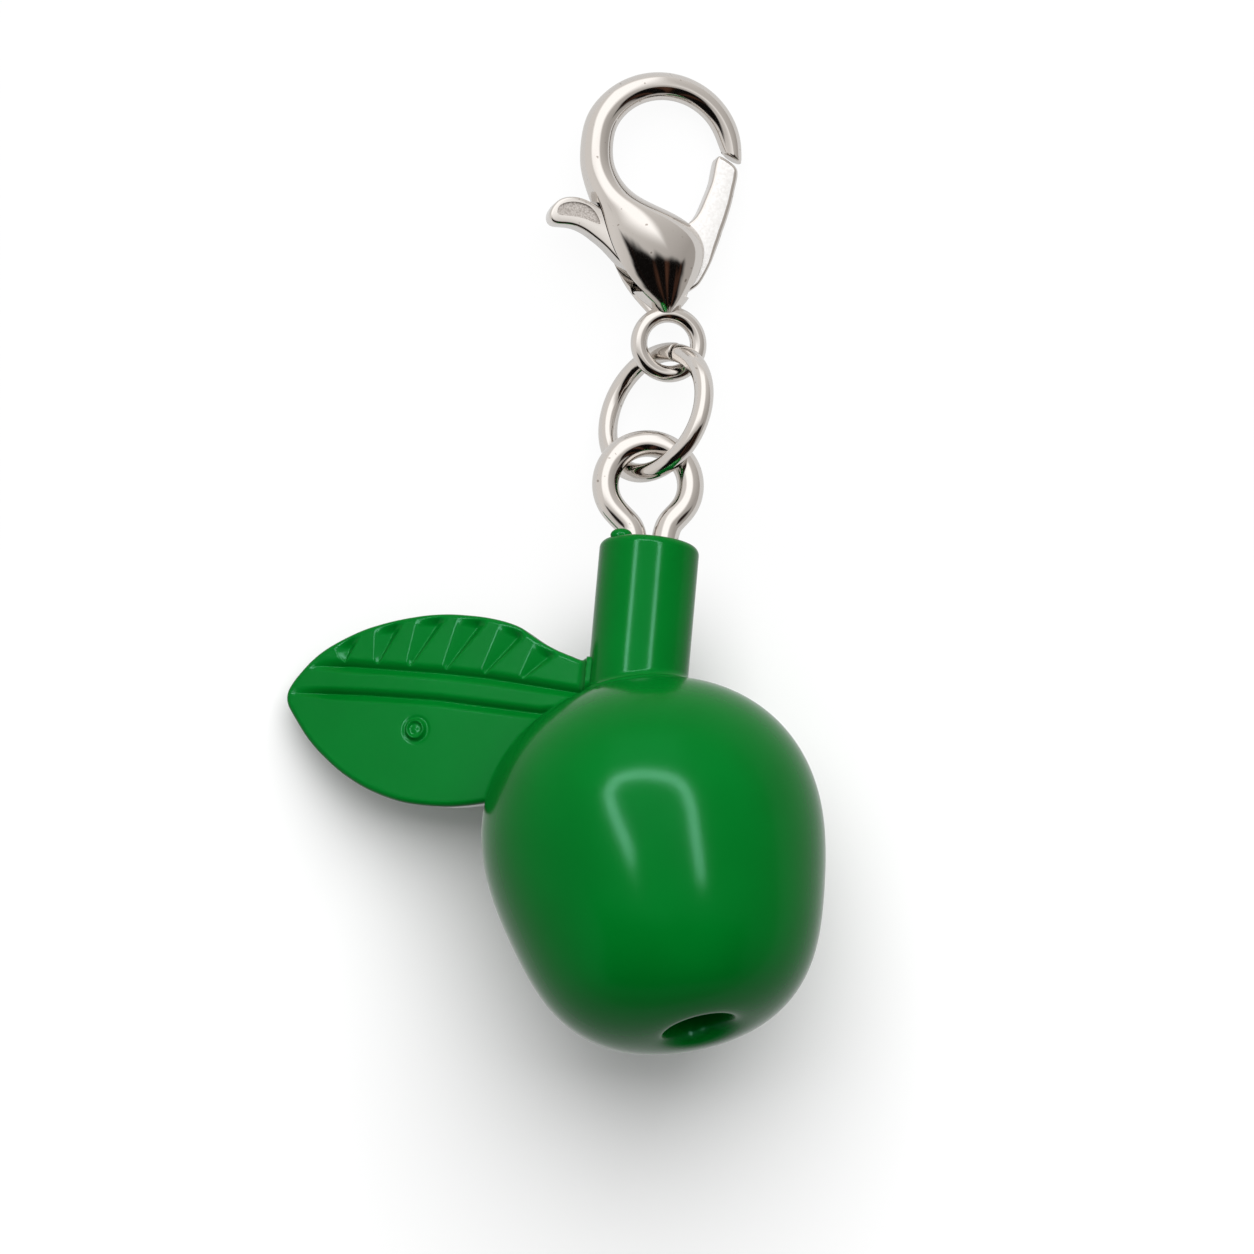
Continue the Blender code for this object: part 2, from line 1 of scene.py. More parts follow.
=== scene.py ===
# %% [markdown]
# # A green plastic apple charm on a plated clasp
# The charm is a small moulded apple with a stem and a leaf. It hangs from a bent wire eye, a
# split jump ring and a lobster-claw clasp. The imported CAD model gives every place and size.
# This lesson puts fine, smooth surfaces over its faceted solids and gives them their finishes.
# A mirror-bright metal shows every facet, so all the wires and the clasp are made anew here.

# %% The frame
import math

import bpy
import numpy as np
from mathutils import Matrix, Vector
from mathutils.geometry import tessellate_polygon


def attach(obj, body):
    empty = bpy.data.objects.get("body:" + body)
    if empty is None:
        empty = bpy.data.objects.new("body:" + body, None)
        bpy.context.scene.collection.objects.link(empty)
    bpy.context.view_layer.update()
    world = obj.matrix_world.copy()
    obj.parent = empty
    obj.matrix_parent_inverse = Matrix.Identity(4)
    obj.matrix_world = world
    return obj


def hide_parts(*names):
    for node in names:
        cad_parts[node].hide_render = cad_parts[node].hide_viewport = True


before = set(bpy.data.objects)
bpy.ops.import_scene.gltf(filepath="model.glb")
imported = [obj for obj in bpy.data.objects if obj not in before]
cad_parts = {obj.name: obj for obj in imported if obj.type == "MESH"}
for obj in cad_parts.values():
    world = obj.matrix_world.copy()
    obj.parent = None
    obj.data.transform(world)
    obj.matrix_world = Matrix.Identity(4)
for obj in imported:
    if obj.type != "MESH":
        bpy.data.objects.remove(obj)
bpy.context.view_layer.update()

# %% [markdown]
# ## Tools for surfaces
# Every new piece is a grid of points: rows along the piece, and points around each row. The
# grid is worked out as whole arrays in millimetres, and one function skins it with faces. A
# fan to the middle of the first and last row closes it, so that each piece is a closed body.

# %% Skins over grids
MM = 0.001
NO_TRIANGLES = np.zeros((0, 3), int)


def signed_volume(points, faces):
    """Six times the volume inside the faces: the sum of a . (b x c) over all triangles. It is
    negative where the faces point inwards."""
    a, b, c = (points[faces[:, k]] for k in range(3))
    total = np.einsum("ij,ij->", a, np.cross(b, c))
    if faces.shape[1] == 4:
        d = points[faces[:, 3]]
        total += np.einsum("ij,ij->", a, np.cross(c, d))
    return total


def flat_cap(row):
    """Triangles that fill a flat loop of any outline, in the order of the loop."""
    tris = np.array(tessellate_polygon([[Vector(p) for p in row.tolist()]]))
    loop = np.cross(row, np.roll(row, -1, 0)).sum(0)
    a, b, c = (row[tris[:, k]] for k in range(3))
    if np.cross(b - a, c - a).sum(0) @ loop < 0.0:
        tris = tris[:, ::-1]
    return tris


def skin(name, rows, body, materials, flat_ends=False):
    """Closed mesh over a grid of shape (rows, points, 3) in millimetres. Each row is a loop,
    and neighbouring rows are joined by quads. Both end rows are closed by a fan to their
    middle, or as flat faces where the outline is hollow."""
    count, around = rows.shape[:2]
    points = np.vstack([rows.reshape(-1, 3), rows[0].mean(0), rows[-1].mean(0)])
    i, j = np.meshgrid(np.arange(count - 1), np.arange(around), indexing="ij")
    k = (j + 1) % around
    quads = np.stack([i * around + j, i * around + k, (i + 1) * around + k,
                      (i + 1) * around + j], -1).reshape(-1, 4)
    ring = np.arange(around)
    turn = (ring + 1) % around
    first = np.stack([np.full(around, count * around), turn, ring], -1)
    base = (count - 1) * around
    last = np.stack([np.full(around, count * around + 1), base + ring, base + turn], -1)
    fans = np.vstack([first, last])
    if flat_ends:
        points = points[:-2]
        fans = np.vstack([flat_cap(rows[0])[:, ::-1], base + flat_cap(rows[-1])])
    if signed_volume(points, quads) + signed_volume(points, fans) < 0.0:
        quads, fans = quads[:, ::-1], fans[:, ::-1]
    return mesh_piece(name, points, quads, fans, body, materials)


def mesh_piece(name, points, quads, tris, body, materials):
    """Mesh object from points in millimetres, quads and triangles, riding on a body."""
    mesh = bpy.data.meshes.new(name)
    mesh.vertices.add(len(points))
    mesh.vertices.foreach_set("co", (points * MM).astype(np.float32).ravel())
    loops = np.concatenate([quads.ravel(), tris.ravel()]).astype(np.int32)
    sizes = np.concatenate([np.full(len(quads), 4), np.full(len(tris), 3)])
    mesh.loops.add(len(loops))
    mesh.loops.foreach_set("vertex_index", loops)
    mesh.polygons.add(len(sizes))
    starts = np.concatenate([[0], np.cumsum(sizes)[:-1]]).astype(np.int32)
    mesh.polygons.foreach_set("loop_start", starts)
    mesh.polygons.foreach_set("use_smooth", np.ones(len(sizes), bool))
    mesh.update(calc_edges=True)
    piece = bpy.data.objects.new(name, mesh)
    bpy.context.scene.collection.objects.link(piece)
    for finish in materials:
        mesh.materials.append(finish)
    if body:
        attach(piece, body)
    print(name, len(points), "points")
    return piece


# %% [markdown]
# ## Directions and smooth curves
# The stem, the leaf, the wire eye and the clasp each lie in a plane that is turned a little
# out of the table. A place is an origin in millimetres and three directions. Points drawn flat
# in that plane are carried to their place with one product of arrays.

# %% Places and curves
def unit(v):
    """Each vector divided by its own length."""
    v = np.asarray(v, float)
    return v / np.linalg.norm(v, axis=-1, keepdims=True)


def full_turn(count):
    """Evenly spaced angles of one full turn, without the last one that meets the first."""
    return np.linspace(0.0, math.tau, count, endpoint=False)


def tilted(angle, roll=0.0):
    """Directions x, y, normal of a plane whose +Y end dips by angle and +X side by roll."""
    y = np.array([0.0, math.cos(angle), -math.sin(angle)])
    level = np.array([0.0, math.sin(angle), math.cos(angle)])
    x = np.array([math.cos(roll), 0.0, 0.0]) - level * math.sin(roll)
    return np.array([x, y, np.cross(x, y)])


def squared(x, y):
    """Directions with x kept, the normal square to both, and y made square to x."""
    x = unit(x)
    n = unit(np.cross(x, y))
    return np.array([x, np.cross(n, x), n])


def around_axis(z):
    """Directions whose third one runs along z."""
    z = unit(z)
    x = np.array([1.0, 0.0, 0.0])
    x = unit(x - z * x.dot(z))
    return np.array([x, np.cross(z, x), z])


def smooth_through(points, steps):
    """Catmull-Rom curve: passes through every point, with steps pieces between neighbours."""
    p = np.asarray(points, float)
    e = np.vstack([2 * p[0] - p[1], p, 2 * p[-1] - p[-2]])
    t = (np.arange(steps) / steps)[None, :, None]
    a, b, c, d = (e[k:len(e) - 3 + k][:, None, :] for k in range(4))
    out = 0.5 * (2 * b + (c - a) * t + (2 * a - 5 * b + 4 * c - d) * t ** 2
                 + (3 * b - a - 3 * c + d) * t ** 3)
    return np.vstack([out.reshape(-1, p.shape[1]), p[-1:]])


def eased(rows, width):
    """Rows averaged with their neighbours under a bell curve, the two ends kept in place."""
    reach = int(3 * width)
    bell = np.exp(-0.5 * (np.arange(-reach, reach + 1) / width) ** 2)
    bell /= bell.sum()
    head = 2 * rows[0] - rows[reach:0:-1]
    tail = 2 * rows[-1] - rows[-2:-reach - 2:-1]
    padded = np.vstack([head, rows, tail])
    return np.stack([np.convolve(padded[:, k], bell, "valid") for k in range(rows.shape[1])], 1)


def ramp(x, low, high):
    """0 below low, 1 above high, with a soft S between them."""
    t = np.clip((x - low) / (high - low), 0.0, 1.0)
    return t * t * (3 - 2 * t)


# %% [markdown]
# ## Finishes
# The moulding is glossy injection-moulded plastic, coloured through. Its mould was polished, so
# it mirrors the lamps, and it has only the faint waviness that comes with shrinking. The metal
# is bright nickel plating over a zinc casting or brass wire. Its colour is a warm light grey.
# The flat faces of the lever were left satin by the mould, so they scatter light evenly.

# %% Colours and nodes
def linear(code):
    """Linear RGB of an sRGB hex colour: ((c + 0.055) / 1.055) ** 2.4 above 0.04045."""
    parts = np.array([int(code[k:k + 2], 16) for k in (1, 3, 5)]) / 255.0
    out = np.where(parts > 0.04045, ((parts + 0.055) / 1.055) ** 2.4, parts / 12.92)
    return (*out.tolist(), 1.0)


def add(tree, kind, values=None, links=None, **settings):
    """A node of that kind with its settings, its socket values and its incoming links."""
    node = tree.nodes.new(kind)
    for key, value in settings.items():
        setattr(node, key, value)
    for key, value in (values or {}).items():
        node.inputs[key].default_value = value
    for key, source in (links or {}).items():
        tree.links.new(source, node.inputs[key])
    return node


def new_finish(name, **sockets):
    """A material with one Principled shader whose sockets are set, and its tree and shader."""
    finish = bpy.data.materials.new(name)
    finish.use_nodes = True
    shader = finish.node_tree.nodes["Principled BSDF"]
    for key, value in sockets.items():
        shader.inputs[key.replace("_", " ")].default_value = value
    return finish, finish.node_tree, shader


def feed(tree, shader, **sources):
    """Links from the named sockets of a shader to their sources."""
    for key, source in sources.items():
        tree.links.new(source, shader.inputs[key.replace("_", " ")])


def noise(tree, size, detail):
    """Noise with humps of the size in millimetres, fixed to the piece."""
    place = add(tree, "ShaderNodeTexCoord")
    return add(tree, "ShaderNodeTexNoise", {"Scale": 1 / (size * MM), "Detail": detail},
               {"Vector": place.outputs["Object"]}).outputs["Fac"]


def blend(tree, factor, low, high):
    """Colour between two sRGB hex colours, by a factor."""
    return add(tree, "ShaderNodeMix", {"A": linear(low), "B": linear(high)},
               {"Factor": factor}, data_type="RGBA").outputs["Result"]


def carried(tree, value, start, end, **settings):
    """Value carried from one range to another, and held at the ends of both."""
    return add(tree, "ShaderNodeMapRange", {"From Min": start[0], "From Max": start[1],
                                            "To Min": end[0], "To Max": end[1]},
               {"Value": value}, **settings).outputs["Result"]


def bumped(tree, height, strength, rise, under=None):
    """Normal bent by a height that rises so many millimetres, over another bump if given."""
    links = {"Height": height, "Normal": under} if under else {"Height": height}
    return add(tree, "ShaderNodeBump", {"Strength": strength, "Distance": rise * MM},
               links).outputs["Normal"]


def worked(tree, kind, operation, terms):
    """Outputs of a maths node whose terms are constants or other sockets."""
    node = add(tree, kind, operation=operation)
    for place, term in enumerate(terms):
        if isinstance(term, (float, tuple)):
            node.inputs[place].default_value = term
        else:
            tree.links.new(term, node.inputs[place])
    return node.outputs


def combined(tree, operation, *terms):
    """Sum, product or the like of values."""
    return worked(tree, "ShaderNodeMath", operation, terms)["Value"]


def moved(tree, operation, *terms):
    """Sum, product or the like of vectors."""
    return worked(tree, "ShaderNodeVectorMath", operation, terms)["Vector"]


def measured(tree, operation, *terms):
    """Length or dot product of vectors."""
    return worked(tree, "ShaderNodeVectorMath", operation, terms)["Value"]


def either_shader(tree, factor, first, second):
    """The first shader where the factor is 0, and the second where it is 1."""
    return add(tree, "ShaderNodeMixShader", None,
               {0: factor, 1: first, 2: second}).outputs[0]


# %% Glossy green plastic
def green_plastic():
    """Polished moulded plastic, IOR 1.54: waviness every 2.5 mm, and a fine grain of 0.12 mm
    that breaks the gloss a little."""
    finish, tree, shader = new_finish("green_moulded_plastic", Metallic=0.0, IOR=1.54,
                                      Specular_IOR_Level=0.10,
                                      Specular_Tint=(0.30, 0.9, 0.8, 1.0))
    broad, grain = noise(tree, 2.5, 1.0), noise(tree, 0.12, 2.0)
    wave = bumped(tree, broad, 0.25, 0.02)
    feed(tree, shader, Base_Color=blend(tree, broad, "#00430F", "#004B14"),
         Roughness=carried(tree, grain, (0.0, 1.0), (0.12, 0.22)),
         Normal=bumped(tree, grain, 0.12, 0.004, wave))
    return finish


green = green_plastic()


# %% Bright plating
def plating(name, rough_low, rough_high, wave_height):
    """Nickel plate: warm grey metal with a faint waviness every 0.9 mm and pin-point specks
    0.15 mm apart where the polish stopped."""
    finish, tree, shader = new_finish(name, Metallic=1.0)
    broad, specks = noise(tree, 0.9, 1.0), noise(tree, 0.15, 0.0)
    marks = carried(tree, specks, (0.79, 0.86), (0.0, 1.0))
    feed(tree, shader, Base_Color=blend(tree, marks, "#DBD6D1", "#A79F98"),
         Roughness=carried(tree, broad, (0.0, 1.0), (rough_low, rough_high)),
         Normal=bumped(tree, broad, 0.3, wave_height))
    return finish


wire_plating = plating("bright_nickel_wire", 0.06, 0.12, 0.007)
cast_plating = plating("bright_nickel_casting", 0.06, 0.10, 0.010)


# %% Satin faces of the lever
def satin(name, low, high, rough, grit, metallic):
    """Unpolished plating: two greys in a grit of the given size in millimetres, which also
    roughens the surface by a few thousandths of a millimetre."""
    finish, tree, shader = new_finish(name, Metallic=metallic, Roughness=rough)
    grain = noise(tree, grit, 3.0)
    spread = carried(tree, grain, (0.35, 0.65), (0.0, 1.0))
    feed(tree, shader, Base_Color=blend(tree, spread, low, high),
         Normal=bumped(tree, grain, 0.35, 0.006))
    return finish


gate_satin = satin("satin_gate_face", "#E6E4E2", "#F2F1F0", 0.42, 0.10, 0.5)
tab_satin = satin("grainy_tab_face", "#A8A19B", "#D0CAC5", 0.36, 0.06, 0.75)
spring_wire, _, _ = new_finish("spring_wire", Metallic=1.0, Roughness=0.32,
                               Base_Color=linear("#B9B9BA"))

# %% [markdown]
# ## The apple
# The body is round about its own axis: its reach from the centre depends only on the angle to
# that axis. The blossom end has a deep round hole with a soft rim. The grid therefore has its
# pole there, with most rows packed where the wall of the hole drops. Each point is first put
# on the plain apple, and then pressed in along the axis of the hole.

# %% Apple shape
BODY_CENTRE = np.array([3.585, -10.894, 6.035])
BODY_MEAN = 5.72
BODY_WAVES = (1.22, 0.40, 0.01, -0.165)
CALYX_CENTRE = np.array([4.66, -14.99, 8.02])
CALYX_RADIUS = 1.02
CALYX_DEPTH = 2.9
CALYX_AWAY = 5.2
HOLE_SOFTNESS = 0.26


def leaning(lean, dip):
    """Direction of +Y after a lean toward -X and a dip toward the table, both in degrees."""
    lean, dip = math.radians(lean), math.radians(dip)
    return np.array([-math.sin(lean) * math.cos(dip), math.cos(lean) * math.cos(dip),
                     -math.sin(dip)])


BODY_AXIS = leaning(11.0, 18.0)
CALYX_AXIS = leaning(17.0, 23.0)


def apple_reach(direction):
    """Mean reach plus four cosine waves of the angle between the direction and the axis."""
    angle = np.arccos(np.clip(direction @ BODY_AXIS, -1.0, 1.0))
    return BODY_MEAN + sum(w * np.cos((k + 1) * angle) for k, w in enumerate(BODY_WAVES))


def outside_apple(points):
    """Distance of points from the centre, less the apple's reach in their direction."""
    arm = points - BODY_CENTRE
    far = np.linalg.norm(arm, axis=-1)
    return far - apple_reach(arm / far[..., None])


def calyx_depth(r):
    """Depth of the hole against the distance r from its axis: a bowl, a steep wall at the
    radius, then a flared rim."""
    rim = CALYX_RADIUS
    knots = smooth_through([(0.0, CALYX_DEPTH), (0.45 * rim, 2.82), (0.70 * rim, 2.45),
                            (0.84 * rim, 1.80), (0.93 * rim, 1.02), (rim, 0.50), (rim + 0.14, 0.16),
                            (rim + 0.36, -0.05), (rim + 0.85, -0.36), (rim + 1.5, -0.85),
                            (rim + 2.5, -2.0), (rim + 6.1, -9.0)], 12)
    return np.interp(r, knots[:, 0], knots[:, 1])


def apple_rows():
    """Directions on rings about the hole, the reach of the apple along each, and then the
    larger of the point's own depth and the hole's depth, with a soft change between them.
    The belly is flat where it rests on the table."""
    rim = CALYX_RADIUS
    near = np.concatenate([np.linspace(0.04, 0.64 * rim, 12), np.linspace(0.66 * rim, rim + 0.1, 44),
                           np.linspace(rim + 0.12, rim + 1.8, 42)]) / CALYX_AWAY
    rings = np.concatenate([near, np.linspace(near[-1] + 0.02, math.pi - 0.01, 132)])
    a, t = np.meshgrid(rings, full_turn(288), indexing="ij")
    axes = around_axis(CALYX_CENTRE - BODY_CENTRE)
    local = np.stack([np.sin(a) * np.cos(t), np.sin(a) * np.sin(t), np.cos(a)], -1)
    direction = local @ axes
    points = BODY_CENTRE + direction * apple_reach(direction)[..., None]
    arm = points - CALYX_CENTRE
    depth = arm @ CALYX_AXIS
    side = arm - depth[..., None] * CALYX_AXIS
    wanted = calyx_depth(np.linalg.norm(side, axis=-1))
    pressed = 0.5 * (depth + wanted + np.sqrt((depth - wanted) ** 2 + HOLE_SOFTNESS ** 2))
    away = ramp(a, 0.45, 0.75)
    pressed = pressed * (1 - away) + depth * away
    points = CALYX_CENTRE + side + pressed[..., None] * CALYX_AXIS
    points[..., 2] = np.maximum(points[..., 2], 0.0)
    return points


apple_body = skin("apple_body", apple_rows(), "charm", [green])

# %% [markdown]
# ## The stem
# The stem is a round bar. A mould never leaves a knife-sharp inner corner, so its foot flares
# in a quarter circle onto the apple. The flare starts where each line along the bar meets the
# apple, and that height is found by halving an interval twenty-five times for all lines at
# once. The free end has a small round edge.

# %% Stem shape
STEM_BASE = np.array([2.695, -4.084, 4.06])
STEM_RADIUS = 1.6
STEM_LENGTH = 4.66
STEM_FLARE = 0.26
STEM_EDGE = 0.27
STEM_PLANE = tilted(math.radians(12.0))
STEM_AXIS = unit(STEM_PLANE[1] + np.array([0.0878, 0.0, 0.0]))


def stem_rows():
    """Rows along the bar: radius plus the flare f - sqrt(f^2 - (f - s)^2) at a height s above
    the apple, then the straight bar, then a quarter circle at the end."""
    axes = around_axis(STEM_AXIS)
    t = full_turn(144)
    spoke = np.cos(t)[:, None] * axes[0] + np.sin(t)[:, None] * axes[1]
    low, high = np.full(t.shape, -3.0), np.full(t.shape, 3.0)
    for _ in range(25):
        middle = 0.5 * (low + high)
        outside = outside_apple(STEM_BASE + middle[:, None] * STEM_AXIS
                                + STEM_RADIUS * spoke) > 0
        high = np.where(outside, middle, high)
        low = np.where(outside, low, middle)
    s = STEM_FLARE * (1 - np.cos(np.linspace(0.0, math.pi / 2, 14)))
    grown = STEM_FLARE - np.sqrt(STEM_FLARE ** 2 - (STEM_FLARE - s) ** 2)
    heights = [low - 0.5] + [low + k for k in s]
    radii = [STEM_RADIUS] + [STEM_RADIUS + g for g in grown]
    top = STEM_LENGTH - STEM_EDGE
    for share in np.linspace(0.05, 1.0, 24):
        heights.append((low + STEM_FLARE) * (1 - share) + top * share)
        radii.append(STEM_RADIUS)
    for angle in np.linspace(0.0, math.pi / 2, 12)[1:]:
        heights.append(np.full(t.shape, top + STEM_EDGE * math.sin(angle)))
        radii.append(STEM_RADIUS - STEM_EDGE + STEM_EDGE * math.cos(angle))
    for radius in (1.0, 0.5, 0.15):
        heights.append(np.full(t.shape, STEM_LENGTH))
        radii.append(radius)
    heights, radii = np.array(heights), np.array(radii)
    return (STEM_BASE + heights[..., None] * STEM_AXIS
            + radii[:, None, None] * spoke[None])


stem = skin("stem_bar", stem_rows(), "charm", [green])


BURR_PLACE = np.array([-0.93, 0.0, 0.75])
BURR_HALF = np.array([0.35, 0.22, 0.24])
BURR_STANDS = 0.13


def burr_rows():
    """A small bead of plastic on the stem's end beside the wire: a ball, a little flat."""
    centre = STEM_BASE + (STEM_LENGTH + BURR_STANDS) * STEM_AXIS + BURR_PLACE @ STEM_PLANE
    a, t = np.meshgrid(np.linspace(0.05, math.pi - 0.05, 20), full_turn(40), indexing="ij")
    ball = np.stack([np.sin(a) * np.cos(t), np.cos(a), np.sin(a) * np.sin(t)], -1)
    return centre + (ball * BURR_HALF) @ STEM_PLANE


burr = skin("moulding_burr", burr_rows(), "charm", [green])

# %% [markdown]
# ## The leaf
# The leaf is a flat plate with a rounded rim. Its upper half has six side veins, grooves with
# a soft left wall and a crisp right one, and the midrib is a raised band between two grooves
# like saw teeth. The lower half is smooth, with a round mark left by an ejector pin. The grid
# runs from the tip to the stem, and its columns run from the lower edge to the upper one, so
# the outline is exact. The relief is a drop that is worked out from x and y alone.

# %% Leaf outline and relief
LEAF_OUTLINE = [(-0.30, 0.85), (-1.43, 0.90), (-1.70, 0.86), (-2.10, 1.03), (-2.53, 1.23),
                (-2.98, 1.49), (-3.39, 1.78), (-3.76, 2.05), (-4.17, 2.24), (-4.60, 2.38),
                (-5.05, 2.49), (-5.52, 2.57), (-6.16, 2.65), (-6.85, 2.67), (-7.45, 2.63),
                (-8.02, 2.56), (-8.60, 2.45), (-9.17, 2.30), (-9.86, 2.03), (-10.45, 1.73),
                (-10.88, 1.42), (-11.20, 1.11), (-11.47, 0.81), (-11.67, 0.51),
                (-11.74, 0.25), (-11.70, 0.00), (-11.57, -0.26), (-11.41, -0.53),
                (-11.21, -0.86), (-10.99, -1.18), (-10.72, -1.51), (-10.40, -1.84),
                (-10.04, -2.18), (-9.62, -2.51), (-9.10, -2.85), (-8.50, -3.15),
                (-7.83, -3.40), (-7.15, -3.55), (-6.35, -3.65), (-5.79, -3.66),
                (-5.22, -3.63), (-4.40, -3.54), (-3.20, -3.38), (-0.30, -3.20)]
LEAF_HALF = 0.6
LEAF_EDGE = 0.17
LEAF_FILLET = 0.32
LEAF_ROLL = math.radians(17.5)
MARK_CENTRE = (-7.27, -1.10)
MARK_SIZE = 1.12
VEINS = [((-9.73, 1.30), (-9.52, 1.98)), ((-8.58, 1.22), (-7.98, 2.42)),
         ((-7.46, 1.08), (-6.52, 2.50)), ((-6.24, 0.88), (-5.12, 2.33)),
         ((-4.92, 0.66), (-3.76, 1.87)), ((-3.62, 0.42), (-2.62, 1.22))]
UPPER_GROOVE = [(-10.95, 1.22, 1.10), (-9.50, 1.12, 0.86), (-8.30, 0.96, 0.74),
                (-7.14, 0.80, 0.58), (-6.50, 0.72, 0.48), (-4.88, 0.45, 0.20),
                (-3.25, 0.10, -0.14), (-1.80, -0.22, -0.41)]
LOWER_GROOVE = [(-11.50, 0.36, 0.28), (-10.20, 0.27, 0.04), (-8.96, 0.14, -0.10),
                (-7.14, -0.09, -0.31), (-6.49, -0.18, -0.40), (-5.00, -0.46, -0.68),
                (-3.13, -0.80, -1.03)]


def vein_drop(x, y, foot, head):
    """Groove along foot to head: deepest on that line, a curved wall to the left and a
    straight steep one to the right, both wider toward the rim."""
    foot, head = np.array(foot), np.array(head)
    length = np.linalg.norm(head - foot)
    u = (head - foot) / length
    along = ((x - foot[0]) * u[0] + (y - foot[1]) * u[1]) / length
    across = (x - foot[0]) * u[1] - (y - foot[1]) * u[0]
    a = np.clip(along, 0.0, 1.2)
    left = np.clip(1 + across / (0.16 + 0.64 * a), 0.0, 1.0) ** 1.2
    right = np.clip(1 - across / (0.07 + 0.17 * a), 0.0, 1.0)
    return (0.10 + 0.13 * a) * np.where(across < 0, left, right) * ramp(along, -0.18, 0.06)


def groove_drop(x, y, line, rise, depth):
    """Groove between the midrib and the blade: the drop is full in the valley, fades as a
    square above it and in a straight line down to the crisp edge."""
    line = np.array(line)
    valley = np.interp(x, line[:, 0], line[:, 1])
    crest = np.interp(x, line[:, 0], line[:, 2])
    above = np.clip(1 - (y - valley) / rise, 0.0, 1.0) ** 2
    below = np.clip(1 - (valley - y) / (valley - crest), 0.0, 1.0)
    grown = ramp(x, line[0, 0] - 0.3, line[0, 0] + 1.3)
    return depth * grown * np.where(y > valley, above, below)


def leaf_drop(x, y):
    """The deepest of all grooves, less the raised ejector mark with its dished top."""
    drop = groove_drop(x, y, UPPER_GROOVE, 0.30, 0.20)
    drop = np.maximum(drop, groove_drop(x, y, LOWER_GROOVE, 0.26, 0.20))
    for foot, head in VEINS:
        drop = np.maximum(drop, vein_drop(x, y, foot, head))
    r = np.hypot(x - MARK_CENTRE[0], y - MARK_CENTRE[1]) / MARK_SIZE
    rim = 0.11 * np.exp(-((r - 0.25) / 0.045) ** 2)
    middle = 0.05 * ramp(-r, -0.30, -0.24) + 0.03 * np.exp(-(r / 0.08) ** 2)
    trace = 0.03 * np.exp(-((r - 0.36) / 0.04) ** 2)
    return drop - rim - middle + trace


# %% Leaf surface
def leaf_rows():
    """Columns from the tip to the stem, closest near the tip: the top from the lower to the
    upper edge, and the plain back the other way with fewer points. Near the rim both faces
    fall by e - sqrt(e^2 - (e - d)^2), with d the distance to the outline. Near the apple and
    the stem both faces climb in a quarter circle, as the inner corner of a mould does."""
    outline = smooth_through(LEAF_OUTLINE, 8)
    tip = int(np.argmin(outline[:, 0]))
    upper, lower = outline[tip::-1], outline[tip:]
    share = np.linspace(0.0, 1.0, 400)
    share = np.where(share < 0.2, share ** 2 / 0.4, share - 0.1) / 0.9
    x = outline[tip, 0] + 0.004 + (-0.9 - outline[tip, 0]) * share
    high = np.interp(x, upper[:, 0], upper[:, 1])
    low = np.interp(x, lower[:, 0], lower[:, 1])
    across = np.linspace(0.0, 1.0, 200)
    across = across - 0.30 * np.sin(math.tau * across) / math.tau
    back = across[::-8]
    t = np.concatenate([across, back])
    face = np.concatenate([np.ones(len(across)), -np.ones(len(back))])
    grid_x = np.repeat(x[:, None], len(t), 1)
    grid_y = low[:, None] + (high - low)[:, None] * t[None]
    flat = np.stack([grid_x.ravel(), grid_y.ravel()], 1)
    near = np.full(len(flat), np.inf)
    for start, end in zip(outline[:-1], outline[1:]):
        run = end - start
        s = np.clip(((flat - start) @ run) / (run @ run + 1e-12), 0.0, 1.0)
        near = np.minimum(near, np.hypot(flat[:, 0] - start[0] - s * run[0],
                                         flat[:, 1] - start[1] - s * run[1]))
    near = near.reshape(grid_x.shape)
    d = np.clip(LEAF_EDGE - near, 0.0, LEAF_EDGE)
    rounded = LEAF_EDGE - np.sqrt(np.maximum(LEAF_EDGE ** 2 - d ** 2, 0.0))
    relief = leaf_drop(grid_x, grid_y) * ramp(near, 0.04, 0.40)
    z = np.where(face > 0, LEAF_HALF - rounded - relief, -LEAF_HALF + rounded)
    leaf_x = np.array([math.cos(LEAF_ROLL), 0.0, 0.0]) + STEM_PLANE[2] * math.sin(LEAF_ROLL)
    leaf_axes = squared(leaf_x, STEM_PLANE[1])
    local = np.stack([grid_x, grid_y, z], -1)
    arm = local @ leaf_axes
    flesh = outside_apple(STEM_BASE + arm)
    bar = np.linalg.norm(arm - (arm @ STEM_AXIS)[..., None] * STEM_AXIS, axis=-1) - STEM_RADIUS
    gap = np.clip(np.minimum(flesh, bar), 0.0, LEAF_FILLET)
    climb = LEAF_FILLET - np.sqrt(LEAF_FILLET ** 2 - (LEAF_FILLET - gap) ** 2)
    local[..., 2] += np.where(face > 0, climb, -climb)
    placed = STEM_BASE + local @ leaf_axes
    placed[..., 2] = np.maximum(placed[..., 2], 0.0)
    return placed


leaf = skin("leaf_blade", leaf_rows(), "charm", [green])
for part_piece in (apple_body, stem, burr, leaf):
    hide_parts("apple_moulding")

# %% [markdown]
# ## The wires
# The eye and the jump ring are round wire, bent cold and plated. Each is a circle carried along
# a path. The path lies in one plane, so the plane's normal is one direction of every circle and
# the other is square to the path. The cut ends have a small round edge.

